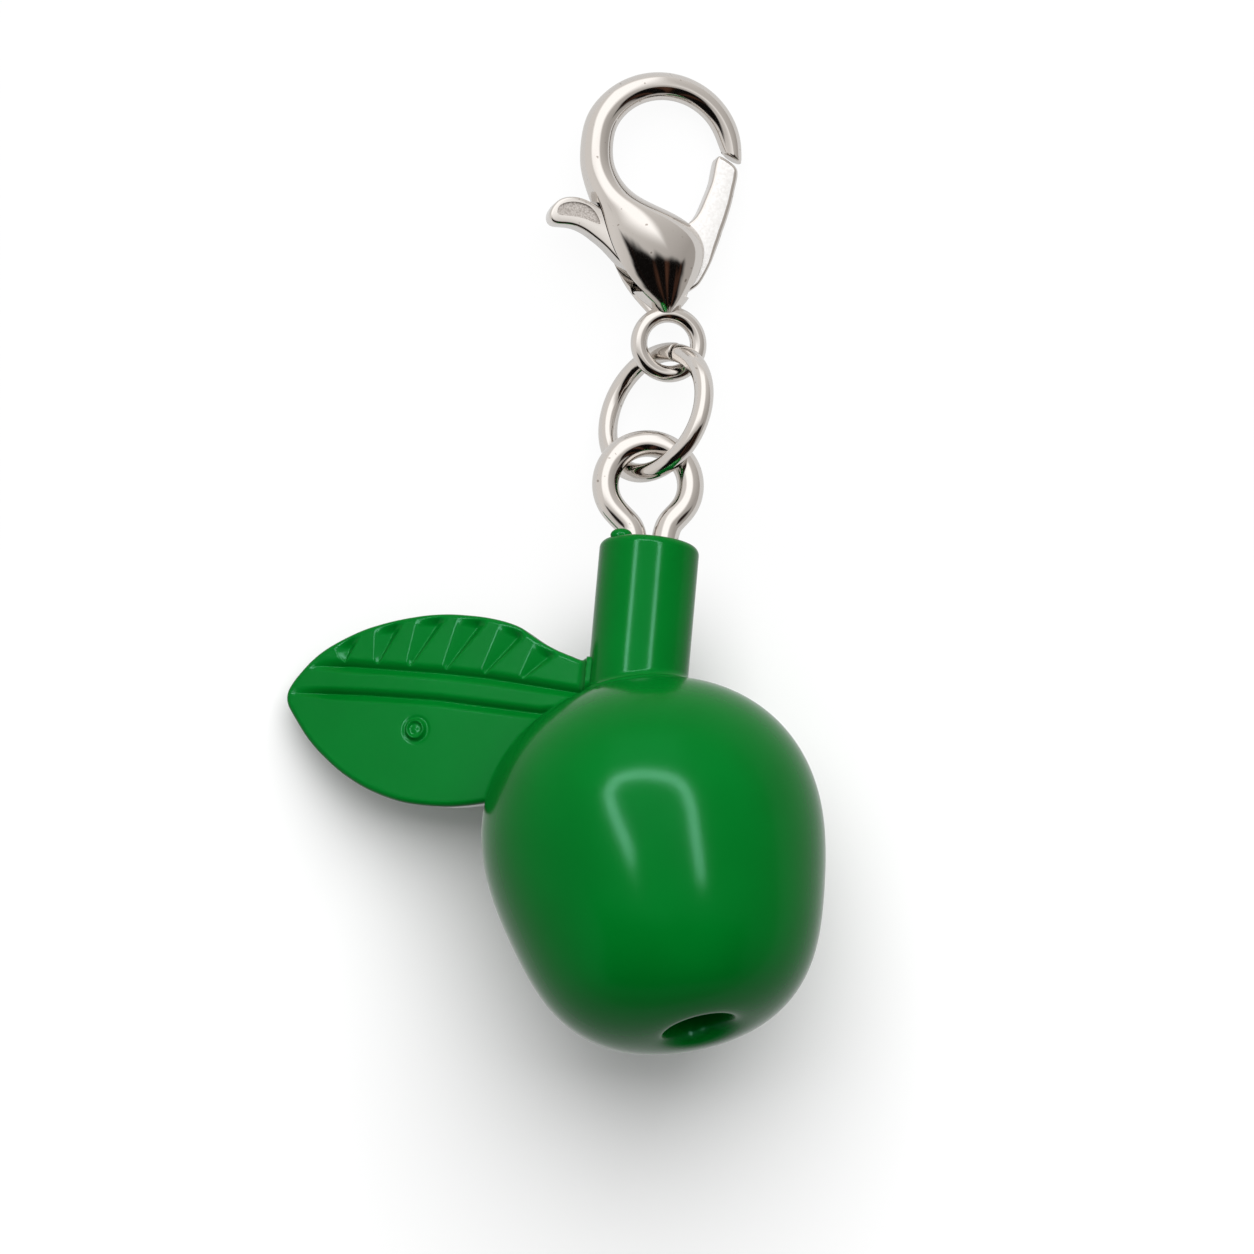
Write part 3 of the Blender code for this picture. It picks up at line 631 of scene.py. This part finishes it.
# %% Wire along a path
def wire_rows(path, radius, normal, sides, edge):
    """Circles of the radius, square to the path and to the plane's normal. At both ends they
    shrink by a quarter circle of size edge."""
    along = unit(np.gradient(path, axis=0))
    across = unit(np.cross(normal, along))
    up = np.cross(along, across)
    angles = np.linspace(0.0, math.pi / 2, 7)
    shrink = radius - edge + edge * np.sin(angles)
    back = (edge * (1 - np.cos(angles)))[:, None]
    inner = slice(2, len(path) - 2)
    centres = np.vstack([path[0] + along[0] * back, path[inner],
                         path[-1] - along[-1] * back[::-1]])
    across, up = (np.vstack([np.repeat(v[:1], 7, 0), v[inner], np.repeat(v[-1:], 7, 0)])
                  for v in (across, up))
    radii = np.concatenate([shrink, np.full(len(path) - 4, radius), shrink[::-1]])
    t = full_turn(sides)
    ring = np.cos(t)[None, :, None] * across[:, None] + np.sin(t)[None, :, None] * up[:, None]
    return centres[:, None] + radii[:, None, None] * ring


# %% Wire eye
EYE_CENTRE = np.array([3.042, 2.363, 2.72])
EYE_RADIUS = 1.383
EYE_WIRE = 0.862
EYE_START, EYE_END = 233.0, -54.0
eye_axes = squared(*tilted(math.radians(12.0), math.radians(4.0))[:2])
eye_turns = np.radians(EYE_START - np.arange(13) * (EYE_START - EYE_END) / 12)
eye_loop = np.stack([EYE_RADIUS * np.cos(eye_turns), EYE_RADIUS * np.sin(eye_turns)], 1)
eye_flat = np.vstack([[(-0.60, -3.10), (-0.51, -2.15), (-0.47, -1.72), (-0.58, -1.38)], eye_loop,
                      [(0.65, -1.36), (0.55, -1.72), (0.51, -2.15), (0.43, -3.10)]])
eye_path = eased(smooth_through(eye_flat, 12), 4)
eye_path = EYE_CENTRE + np.column_stack([eye_path, np.zeros(len(eye_path))]) @ eye_axes
eye = skin("wire_eye_bright", wire_rows(eye_path, EYE_WIRE / 2, eye_axes[2], 64, 0.06),
           "charm", [wire_plating])
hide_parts("wire_eye")

# %% Jump ring
RING_CENTRE = np.array([3.289, 4.714, 2.03])
RING_RADIUS = 2.07
RING_WIRE = 0.62
RING_SPLIT_AT = math.radians(-9.0)
RING_SPLIT = 0.05
RING_OFFSET = 0.06
ring_axes = squared((0.434, 0.901, 0.0), (0.606, -0.292, 0.740))
half_gap = RING_SPLIT / 2 / RING_RADIUS
ring_share = np.linspace(0.0, 1.0, 361)
ring_turn = RING_SPLIT_AT + half_gap + ring_share * (math.tau - 2 * half_gap)
ring_side = RING_OFFSET * (0.5 - ring_share) * np.abs(2 * ring_share - 1) ** 3
ring_path = RING_CENTRE + np.stack([RING_RADIUS * np.cos(ring_turn),
                                    RING_RADIUS * np.sin(ring_turn), ring_side], 1) @ ring_axes
ring = skin("jump_ring_bright", wire_rows(ring_path, RING_WIRE / 2, ring_axes[2], 56, 0.05),
            "ring", [wire_plating])
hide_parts("jump_ring")

# %% [markdown]
# ## The clasp body
# The casting runs in one sweep from a narrow neck through a drop-shaped dome into the hook.
# Stations along it give its left and right edge and its half height, and each section is an
# ellipse between the two edges. The stations are eased, because a mirror shows every kink.
# They are drawn as seen from above, so widths grow by what the clasp's roll takes away.
# The back shell is wider, which leaves a narrow ledge beside the dome. The slot for the lever
# is cut with a Boolean, the plain way to get its crisp edges. Each shell is cut alone, and then
# the two are joined, so that the casting comes out closed.

# %% Clasp sections
CLASP_CENTRE = np.array([3.711, 6.938, 1.52])
CLASP_ROLL = math.radians(10.5)
WIDEN = 1.0 / math.cos(CLASP_ROLL)
clasp_axes = squared(*tilted(math.radians(5.0), CLASP_ROLL)[:2])
HOOK_CENTRE = (-0.26, 6.23)
HOOK_RADIUS = 2.66
STATIONS = [(-0.37, 1.01, 0.21, 1.01, 0.35), (-0.79, 1.44, 0.53, 1.30, 0.62),
            (-1.25, 2.02, 0.95, 1.99, 0.95), (-1.60, 2.67, 1.20, 2.67, 1.12),
            (-1.86, 3.23, 1.20, 3.22, 1.18), (-2.06, 3.65, 0.93, 3.71, 1.16),
            (-2.25, 4.05, 0.37, 4.14, 1.06), (-2.41, 4.37, -0.41, 4.47, 0.93),
            (-2.54, 4.67, -1.02, 4.76, 0.80), (-2.67, 5.02, -1.44, 5.14, 0.68),
            (-2.80, 5.48, -1.68, 5.55, 0.59), (-2.88, 6.01, -1.83, 6.01, 0.54)]
for k in range(1, 12):
    turn = math.radians(176.0 - 15.2 * k)
    inside = HOOK_RADIUS - (1.08 - 0.030 * k)
    STATIONS.append((HOOK_CENTRE[0] + HOOK_RADIUS * math.cos(turn),
                     HOOK_CENTRE[1] + HOOK_RADIUS * math.sin(turn),
                     HOOK_CENTRE[0] + inside * math.cos(turn),
                     HOOK_CENTRE[1] + inside * math.sin(turn), 0.53 - 0.013 * k))
STATIONS.append((2.36, 5.90, 1.74, 6.26, 0.375))
STATIONS = np.array(STATIONS) * np.array([WIDEN, 1.0, WIDEN, 1.0, 1.0])
FRONT_STATIONS = STATIONS.copy()
FRONT_STATIONS[:8, 0] -= np.array([0.02, 0.12, 0.22, 0.25, 0.22, 0.15, 0.07, 0.02])


def round_tip(rows, tip, share):
    """The last two rows give way to a quarter circle: the end section moves back by
    tip (1 - sin a) and shrinks by share (1 - cos a) about its middle."""
    middle = rows[-1].mean(axis=0)
    along = unit(middle - rows[-3].mean(axis=0))
    turns = np.linspace(0.0, math.pi / 2, 8)
    ends = [middle - along * tip * (1 - math.sin(a))
            + (rows[-1] - middle) * (1 - share * (1 - math.cos(a))) for a in turns]
    return np.concatenate([rows[:-2], ends])


def section_rows(stations, sides, ease):
    """Ellipses between the left and right edge of each eased station: along the width the
    share is (1 - cos t) / 2, and the height is the half height times sin t."""
    rows = eased(smooth_through(stations, 10), ease)
    t = full_turn(sides)
    share = (0.5 - 0.5 * np.cos(t))[None]
    x = rows[:, 0:1] + (rows[:, 2:3] - rows[:, 0:1]) * share
    y = rows[:, 1:2] + (rows[:, 3:4] - rows[:, 1:2]) * share
    return np.stack([x, y, rows[:, 4:5] * np.sin(t)[None]], -1)


def clasp_place(local):
    """Points drawn in the plane of the clasp, carried to the shared frame."""
    return CLASP_CENTRE + local @ clasp_axes


# %% Cutters and cuts
def prism(outline, low, high):
    """Straight prism over an outline in the clasp's plane: two rows and two flat ends."""
    rows = np.stack([np.column_stack([outline, np.full(len(outline), z)])
                     for z in (low, high)])
    return skin("cutter", clasp_place(rows), None, [], flat_ends=True)


def disc(centre, radius, count=64):
    """Points of a circle."""
    t = full_turn(count)
    return np.stack([centre[0] + radius * np.cos(t), centre[1] + radius * np.sin(t)], 1)


def carve(piece, steps):
    """The piece after exact Boolean steps, applied to its mesh, with the cutters removed and
    edges sharper than 32 degrees kept crisp."""
    for operation, other in steps:
        step = piece.modifiers.new("carve", "BOOLEAN")
        step.operation, step.solver, step.object = operation, "EXACT", other
    bpy.context.view_layer.update()
    done = bpy.data.meshes.new_from_object(
        piece.evaluated_get(bpy.context.evaluated_depsgraph_get()))
    piece.modifiers.clear()
    piece.data = done
    for _, other in steps:
        bpy.data.objects.remove(other)
    done.polygons.foreach_set("use_smooth", np.ones(len(done.polygons), bool))
    done.set_sharp_from_angle(angle=math.radians(32.0))
    print(piece.name, len(done.polygons), "faces after the cuts")


# %% Clasp casting
def torus_rows(major, minor, count, sides):
    """Circles of the minor radius round a circle of the major one, first row met again."""
    a, b = np.meshgrid(np.linspace(0.0, math.tau, count + 1),
                       full_turn(sides), indexing="ij")
    reach = major + minor * np.cos(b)
    return np.stack([reach * np.cos(a), reach * np.sin(a), minor * np.sin(b)], -1)


LEDGE_LEFT = np.array([0.36, 0.34, 0.34, 0.33, 0.29, 0.21, 0.09, -0.06])
LEDGE_RIGHT = np.array([0.20, 0.20, 0.16, 0.12, 0.05, -0.03, -0.08, -0.10])
back_stations = STATIONS[:8].copy()
back_stations[:, 0] -= LEDGE_LEFT
back_stations[:, 2] += LEDGE_RIGHT
back_stations[:, 4] *= 0.985
BACK_NARROWING = 0.10
for left, right in ((0, 2), (1, 3)):
    span = back_stations[:, right] - back_stations[:, left]
    back_stations[:, left] += BACK_NARROWING * span
    back_stations[:, right] -= BACK_NARROWING * span
SLOT = [(-3.51, 4.92), (-2.75, 4.67), (-2.48, 4.55), (-2.06, 4.36), (-1.41, 4.16),
        (-0.92, 4.12), (-0.44, 4.60), (-0.02, 5.02), (2.96, 5.02), (2.96, 1.76), (0.69, 1.50),
        (0.11, 1.50), (-0.55, 1.58), (-1.00, 1.64), (-1.50, 1.76), (-1.91, 1.92),
        (-2.50, 2.06), (-3.51, 2.09)]
SLOT = np.array(SLOT) * np.array([WIDEN, 1.0])
SLOT_HALF = 0.48
HUB = (0.11, 2.67)
PIVOT = np.array(HUB) * np.array([WIDEN, 1.0])

shell_rows = section_rows(back_stations, 96, 3)
rise = shell_rows[..., 2]
shell_rows[..., 2] = (np.where(rise > 0, 0.50, 0.25) * rise
                      - 0.75 * np.max(rise, axis=1, keepdims=True))
back_shell = skin("back_shell", clasp_place(shell_rows), None, [])
hook_rows = round_tip(section_rows(FRONT_STATIONS, 96, 5), 0.10, 0.26)
casting = skin("clasp_casting", clasp_place(hook_rows), "clasp",
               [cast_plating])
for shell in (casting, back_shell):
    carve(shell, [("DIFFERENCE", prism(SLOT, -SLOT_HALF, SLOT_HALF)),
                  ("DIFFERENCE", prism(disc(PIVOT, 0.31), -2.0, 0.82))])
carve(casting, [("UNION", back_shell)])
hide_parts("clasp_body")


def closed_ring(name, rows, body, materials):
    """Skin over rows that meet again: the last row is left out and joined to the first."""
    count, around = rows.shape[0] - 1, rows.shape[1]
    i, j = np.meshgrid(np.arange(count), np.arange(around), indexing="ij")
    n, k = (i + 1) % count, (j + 1) % around
    quads = np.stack([i * around + j, i * around + k, n * around + k, n * around + j],
                     -1).reshape(-1, 4)
    points = rows[:-1].reshape(-1, 3)
    if signed_volume(points, quads) < 0.0:
        quads = quads[:, ::-1]
    return mesh_piece(name, points, quads, NO_TRIANGLES, body, materials)


neck_ring = closed_ring("clasp_neck_ring", clasp_place(torus_rows(0.974, 0.27, 160, 56)),
                        "clasp", [cast_plating])
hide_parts("clasp_body")

# %% [markdown]
# ## The lever
# Gate, hub and thumb tab are one flat casting. Its faces are satin and its rim is polished
# round, a little wider along the outer side of the gate. The tab has a shallow recess with a
# grainy floor. The rim is a stack of outlines, each moved inwards as the height grows, and the
# two flat faces close it.

# %% Lever surface
LEVER = [(1.52, 6.10), (1.44, 5.86), (1.36, 5.40), (1.27, 5.11), (1.15, 4.82), (1.03, 4.52),
         (0.89, 4.23), (0.66, 3.95), (0.30, 3.80), (-0.10, 3.76), (-0.60, 3.85),
         (-1.41, 4.05), (-2.06, 4.27), (-2.49, 4.47), (-2.75, 4.59), (-3.00, 4.66),
         (-3.24, 4.67), (-3.46, 4.63), (-3.66, 4.51), (-3.82, 4.32), (-3.91, 4.11),
         (-3.88, 3.90), (-3.74, 3.78), (-3.53, 3.76), (-3.30, 3.75), (-3.08, 3.71),
         (-2.86, 3.62), (-2.66, 3.50), (-2.46, 3.35), (-2.23, 3.17), (-2.00, 2.95),
         (-1.70, 2.62), (-1.32, 2.30), (-0.95, 2.06)]
HUB_RADIUS = 1.10
LEVER_HALF = 0.42
RECESS_DEPTH = 0.10
hub_turns = np.radians(216.0 + 13.5 * np.arange(9))
hub = np.stack([HUB[0] + HUB_RADIUS * np.cos(hub_turns),
                HUB[1] + HUB_RADIUS * np.sin(hub_turns)], 1)
LEVER_END = [(1.30, 2.60), (1.42, 2.90), (1.53, 3.18), (1.62, 3.43), (1.70, 3.69), (1.79, 3.93),
             (1.87, 4.18), (1.95, 4.44), (2.02, 4.70), (2.08, 4.99), (2.15, 5.29), (2.19, 5.52),
             (2.17, 5.70), (2.06, 5.84), (1.90, 5.96), (1.66, 6.11)]
RECESS = [(-3.62, 4.06), (-3.65, 4.24), (-3.55, 4.39), (-3.33, 4.48), (-3.04, 4.50),
          (-2.72, 4.42), (-2.52, 4.28), (-2.36, 4.06), (-2.27, 3.78), (-2.52, 3.86),
          (-2.84, 3.97), (-3.18, 4.03)]


def closed_curve(points, steps, ease):
    """Smooth closed outline through the points, eased so that its corners are round."""
    p = np.asarray(points, float) * np.array([WIDEN, 1.0])
    long = eased(smooth_through(np.vstack([p[-3:], p, p[:3]]), steps), ease)
    return long[3 * steps:3 * steps + len(p) * steps]


def inward(outline):
    """Unit normals of a closed outline that point to its inside."""
    step = np.roll(outline, -1, 0) - np.roll(outline, 1, 0)
    area = np.sum(outline[:, 0] * np.roll(outline[:, 1], -1)
                  - np.roll(outline[:, 0], -1) * outline[:, 1])
    return unit(np.stack([-step[:, 1], step[:, 0]], 1) * np.sign(area))


def plate_rows(outline, half, edge):
    """Stack of outlines from the back face to the front: inset by e (1 - cos t) while the
    height grows by e sin t, with the size e given for every point of the outline."""
    normal = inward(outline)
    rows = []
    for side in (-1, 1):
        turns = np.linspace(math.pi / 2, 0.0, 7)[::1 if side < 0 else -1]
        for t in turns:
            inset = edge * (1 - math.cos(t))
            z = side * (half - edge + edge * math.sin(t))
            rows.append(np.column_stack([outline + normal * inset[:, None], z]))
    return np.stack(rows)


lever_line = closed_curve(np.vstack([LEVER, hub, LEVER_END]), 6, 2.0)
outer_side = ramp(lever_line[:, 0], 1.25, 1.6) * ramp(-lever_line[:, 1], -5.9, -5.5)
outer_side *= ramp(lever_line[:, 0] - 0.33 * (lever_line[:, 1] - 3.0) - 1.0, 0.1, 0.4)
rim_size = 0.095 + 0.065 * outer_side
lever_rows = plate_rows(lever_line, LEVER_HALF, rim_size)
lever = skin("clasp_lever_cast", clasp_place(lever_rows), "lever",
             [cast_plating, gate_satin, tab_satin], flat_ends=True)
recess_line = closed_curve(RECESS, 6, 1.5)
carve(lever, [("DIFFERENCE", prism(recess_line, LEVER_HALF - RECESS_DEPTH, 0.8)),
              ("DIFFERENCE", prism(disc(PIVOT, 0.82), -1.0, -0.13)),
              ("DIFFERENCE", prism(disc(PIVOT, 0.35), -2.0, 2.0))])
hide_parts("clasp_lever")


def face_finish(piece):
    """Flat faces that look along the clasp's normal take the satin finish of the gate on its
    side of the pivot, and the grainy one at the height of the recess's floor."""
    mesh = piece.data
    normals, middles = np.zeros((2, len(mesh.polygons) * 3), np.float32)
    mesh.polygons.foreach_get("normal", normals)
    mesh.polygons.foreach_get("center", middles)
    facing = np.abs(normals.reshape(-1, 3) @ clasp_axes[2]) > 0.999
    across, _, height = clasp_axes @ (middles.reshape(-1, 3) / MM - CLASP_CENTRE).T
    index = np.where(facing & (across > 0.0), 1, 0)
    index[facing & (np.abs(height - (LEVER_HALF - RECESS_DEPTH)) < 0.02)] = 2
    mesh.polygons.foreach_set("material_index", index.astype(np.int32))


face_finish(lever)

# %% [markdown]
# ## Pin and spring
# The pin and the spiral spring sit between the two shells. Hardly anything of them shows, and
# their CAD shapes are right, so they stay and only take their finishes.

# %% Pieces that stay
for node_name, finish in (("clasp_pin", cast_plating), ("clasp_spring", spring_wire)):
    node_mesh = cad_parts[node_name].data
    node_mesh.materials.clear()
    node_mesh.materials.append(finish)

# %% [markdown]
# ## Table, lamps and room
# The charm lies on a white table and is seen from straight above. A broad lamp stands behind
# the hook end, so soft shadows fall toward the apple's lower side. A light strip bent like a
# horseshoe gives the gloss of that shape on the apple and the streaks on the stem. The metal
# mirrors the room: white above and behind, and something dark and brown low down in front,
# which makes the black patch on the dome and the dark lines along the wires.

# %% Table
def paper_white():
    """Matt white paper, without any gloss. The camera sees it fade into a painted pure white glow
    toward the clasp, from y = -5 to 0.5 mm, as on a retouched picture, which hides the clasp's
    shadow, and again from 35 to 90 mm away. Mirrors see three quarters of it as a fixed, dimmer
    glow: painted light in place of the lit paper and its shade."""
    finish, tree, shader = new_finish("white_paper", Metallic=0.0, Roughness=1.0,
                                      Base_Color=linear("#F4F4F4"), Specular_IOR_Level=0.0)
    place = add(tree, "ShaderNodeTexCoord").outputs["Object"]
    parts = add(tree, "ShaderNodeSeparateXYZ", None, {"Vector": place})
    # Painted white light: near the clasp the camera sees a glow that covers the clasp's cast shadow.
    fade = carried(tree, parts.outputs["Y"], (-5.0 * MM, 0.5 * MM), (0.0, 0.93),
                   interpolation_type="SMOOTHSTEP")
    haze = carried(tree, measured(tree, "LENGTH", place), (35.0 * MM, 90.0 * MM), (0.0, 1.0),
                   interpolation_type="SMOOTHSTEP")
    ray = add(tree, "ShaderNodeLightPath")
    to_camera = combined(tree, "MULTIPLY", combined(tree, "MAXIMUM", fade, haze),
                         ray.outputs["Is Camera Ray"])
    # Painted reflection: mirrors see mostly a fixed glow of 0.72, not the lit and shaded paper.
    to_mirrors = combined(tree, "MULTIPLY", ray.outputs["Is Glossy Ray"], 0.75)
    white = add(tree, "ShaderNodeEmission", {"Strength": 1.0}).outputs[0]
    dim = add(tree, "ShaderNodeEmission", {"Strength": 0.72}).outputs[0]
    faded = either_shader(tree, to_camera, shader.outputs["BSDF"], white)
    final = either_shader(tree, to_mirrors, faded, dim)
    tree.links.new(final, tree.nodes["Material Output"].inputs["Surface"])
    return finish


TABLE_HALF = 900.0
TABLE_DROP = 0.02
corners = np.array([(x * TABLE_HALF, y * TABLE_HALF, -TABLE_DROP)
                    for x, y in ((-1, -1), (1, -1), (1, 1), (-1, 1))])
table = mesh_piece("white_table", corners, np.array([[0, 1, 2, 3]]), NO_TRIANGLES,
                   None, [paper_white()])


# %% Room
def box_mask(tree, place, centre, half, soft):
    """1 inside a rectangle of the flattened sky and 0 outside: the larger of |x - cx| / hx
    and |y - cy| / hy, turned round about 1 with a soft edge."""
    share = moved(tree, "DIVIDE", moved(tree, "SUBTRACT", place, (*centre, 0.0)), (*half, 1.0))
    parts = add(tree, "ShaderNodeSeparateXYZ", None, {"Vector": moved(tree, "ABSOLUTE", share)})
    larger = combined(tree, "MAXIMUM", parts.outputs["X"], parts.outputs["Y"])
    return carried(tree, larger, (1 - soft, 1 + soft), (1.0, 0.0),
                   interpolation_type="SMOOTHSTEP")


def room():
    """Even white light for matt surfaces, and for mirrors a grey room. In the mirrored room a
    white cloth hangs behind the hook from 10 to 77 degrees off the zenith, and the dark camera
    side with its brown folds in front, from 9 to 65 degrees. The sky is flattened by
    x / (1 + z) and y / (1 + z)."""
    world = bpy.data.worlds.new("studio_room")
    bpy.context.scene.world = world
    world.use_nodes = True
    tree = world.node_tree
    tree.nodes.clear()
    sky = add(tree, "ShaderNodeTexCoord").outputs["Generated"]
    height = add(tree, "ShaderNodeSeparateXYZ", None, {"Vector": sky})
    flat = moved(tree, "DIVIDE", sky, combined(tree, "ADD", height.outputs["Z"], 1.0))
    folds = add(tree, "ShaderNodeTexNoise", {"Scale": 5.0, "Detail": 1.0}, {"Vector": flat})
    pushed = moved(tree, "SUBTRACT", folds.outputs["Color"], (0.5, 0.5, 0.5))
    wavy = moved(tree, "MULTIPLY_ADD", pushed, (0.16, 0.16, 0.0), flat)
    cloth = box_mask(tree, flat, (-0.06, 0.44), (0.25, 0.35), 0.30)
    dark = box_mask(tree, wavy, (0.055, -0.36), (0.52, 0.28), 0.13)
    bands = add(tree, "ShaderNodeTexNoise", {"Scale": 3.0, "Detail": 1.0},
                {"Vector": moved(tree, "MULTIPLY", flat, (2.4, 0.4, 0.0))})
    brown = carried(tree, bands.outputs["Fac"], (0.57, 0.80), (0.0, 1.0))
    front = blend(tree, brown, "#0D0B0A", "#55382A")
    across = measured(tree, "DOT_PRODUCT", flat, (-0.7, 0.7, 0.0))
    lighter = carried(tree, across, (-0.4, 0.4), (0.0, 1.0))
    grey = add(tree, "ShaderNodeMix", {"A": (0.46, 0.44, 0.42, 1.0),
                                       "B": (0.84, 0.82, 0.80, 1.0)},
               {"Factor": lighter}, data_type="RGBA")
    walls = add(tree, "ShaderNodeMix", {"B": (1.45, 1.45, 1.45, 1.0)},
                {"Factor": cloth, "A": grey.outputs["Result"]}, data_type="RGBA")
    seen = add(tree, "ShaderNodeMix", None,
               {"Factor": dark, "A": walls.outputs["Result"], "B": front}, data_type="RGBA")
    mirrored = add(tree, "ShaderNodeBackground", None, {"Color": seen.outputs["Result"]})
    even = add(tree, "ShaderNodeBackground", {"Color": (0.44, 0.44, 0.44, 1.0)})
    white = add(tree, "ShaderNodeBackground", {"Color": (1.0, 1.0, 1.0, 1.0)})
    ray = add(tree, "ShaderNodeLightPath")
    light = either_shader(tree, ray.outputs["Is Glossy Ray"], even.outputs[0], mirrored.outputs[0])
    shown = either_shader(tree, ray.outputs["Is Camera Ray"], light, white.outputs[0])
    add(tree, "ShaderNodeOutputWorld", None, {"Surface": shown})


room()


# %% Lamps
lamp_data = bpy.data.lights.new("broad_lamp", "AREA")
lamp_data.shape, lamp_data.size, lamp_data.energy = "SQUARE", 0.60, 3.9
lamp = bpy.data.objects.new("broad_lamp", lamp_data)
bpy.context.scene.collection.objects.link(lamp)
lamp.location = (0.04, 0.32, 0.42)
lamp.rotation_euler = (-lamp.location).to_track_quat("-Z", "Y").to_euler()
lamp.visible_glossy = False


def strip_direction(normal_x, normal_y):
    """Direction in which a surface with that normal mirrors the camera above."""
    n = np.array([normal_x, normal_y, math.sqrt(1 - normal_x ** 2 - normal_y ** 2)])
    return 2 * n[2] * n - np.array([0.0, 0.0, 1.0])


STRIP_AWAY = 500.0
STRIP_HALF = 0.055


def light_strip():
    """Horseshoe of light 0.5 m away: a smooth curve through directions, widened by a constant
    angle to both sides. It shines on the plastic alone, and lets all other light through."""
    knots = [(-0.15, 0.03), (-0.18, 0.08), (-0.22, 0.15), (-0.25, 0.24), (-0.21, 0.32),
             (-0.11, 0.355), (0.01, 0.355), (0.11, 0.335), (0.18, 0.285), (0.215, 0.20),
             (0.225, 0.12), (0.235, 0.05)]
    path = unit(smooth_through([strip_direction(x, y) for x, y in knots], 10))
    side = unit(np.cross(np.gradient(path, axis=0), path))
    edges = np.stack([path - STRIP_HALF * side, path + STRIP_HALF * side], 1) * STRIP_AWAY
    i = np.arange(len(path) - 1)
    quads = np.stack([2 * i, 2 * i + 1, 2 * i + 3, 2 * i + 2], -1)
    glow = bpy.data.materials.new("strip_glow")
    glow.use_nodes = True
    glow.node_tree.nodes.clear()
    shine = add(glow.node_tree, "ShaderNodeEmission",
                {"Strength": 38.0, "Color": (1.0, 0.74, 0.68, 1.0)})
    clear = add(glow.node_tree, "ShaderNodeBsdfTransparent")
    both = add(glow.node_tree, "ShaderNodeAddShader", None,
               {0: shine.outputs[0], 1: clear.outputs[0]})
    add(glow.node_tree, "ShaderNodeOutputMaterial", None, {"Surface": both.outputs[0]})
    strip = mesh_piece("light_strip", edges.reshape(-1, 3), quads, NO_TRIANGLES,
                       None, [glow])
    strip.visible_camera = False
    strip.visible_shadow = False
    strip.light_linking.receiver_collection = bpy.data.collections.new("glossy_plastic")
    for piece in (apple_body, stem, burr, leaf):
        strip.light_linking.receiver_collection.objects.link(piece)


light_strip()

# %% [markdown]
# ## Camera
# The photograph is taken from straight above with a long lens. At 31.3 pixels per millimetre a
# 200 mm lens stands 22.7 cm over the table.

# %% Camera
camera = bpy.data.cameras.new("camera")
camera.lens, camera.sensor_width = 200.0, 36.0
camera.clip_start, camera.clip_end = 0.001, 100.0
view = bpy.data.objects.new("camera", camera)
view.location = (0.002367, -0.002201, 0.2266)
bpy.context.scene.collection.objects.link(view)
bpy.context.scene.camera = view
bpy.context.scene.view_settings.view_transform = "Standard"
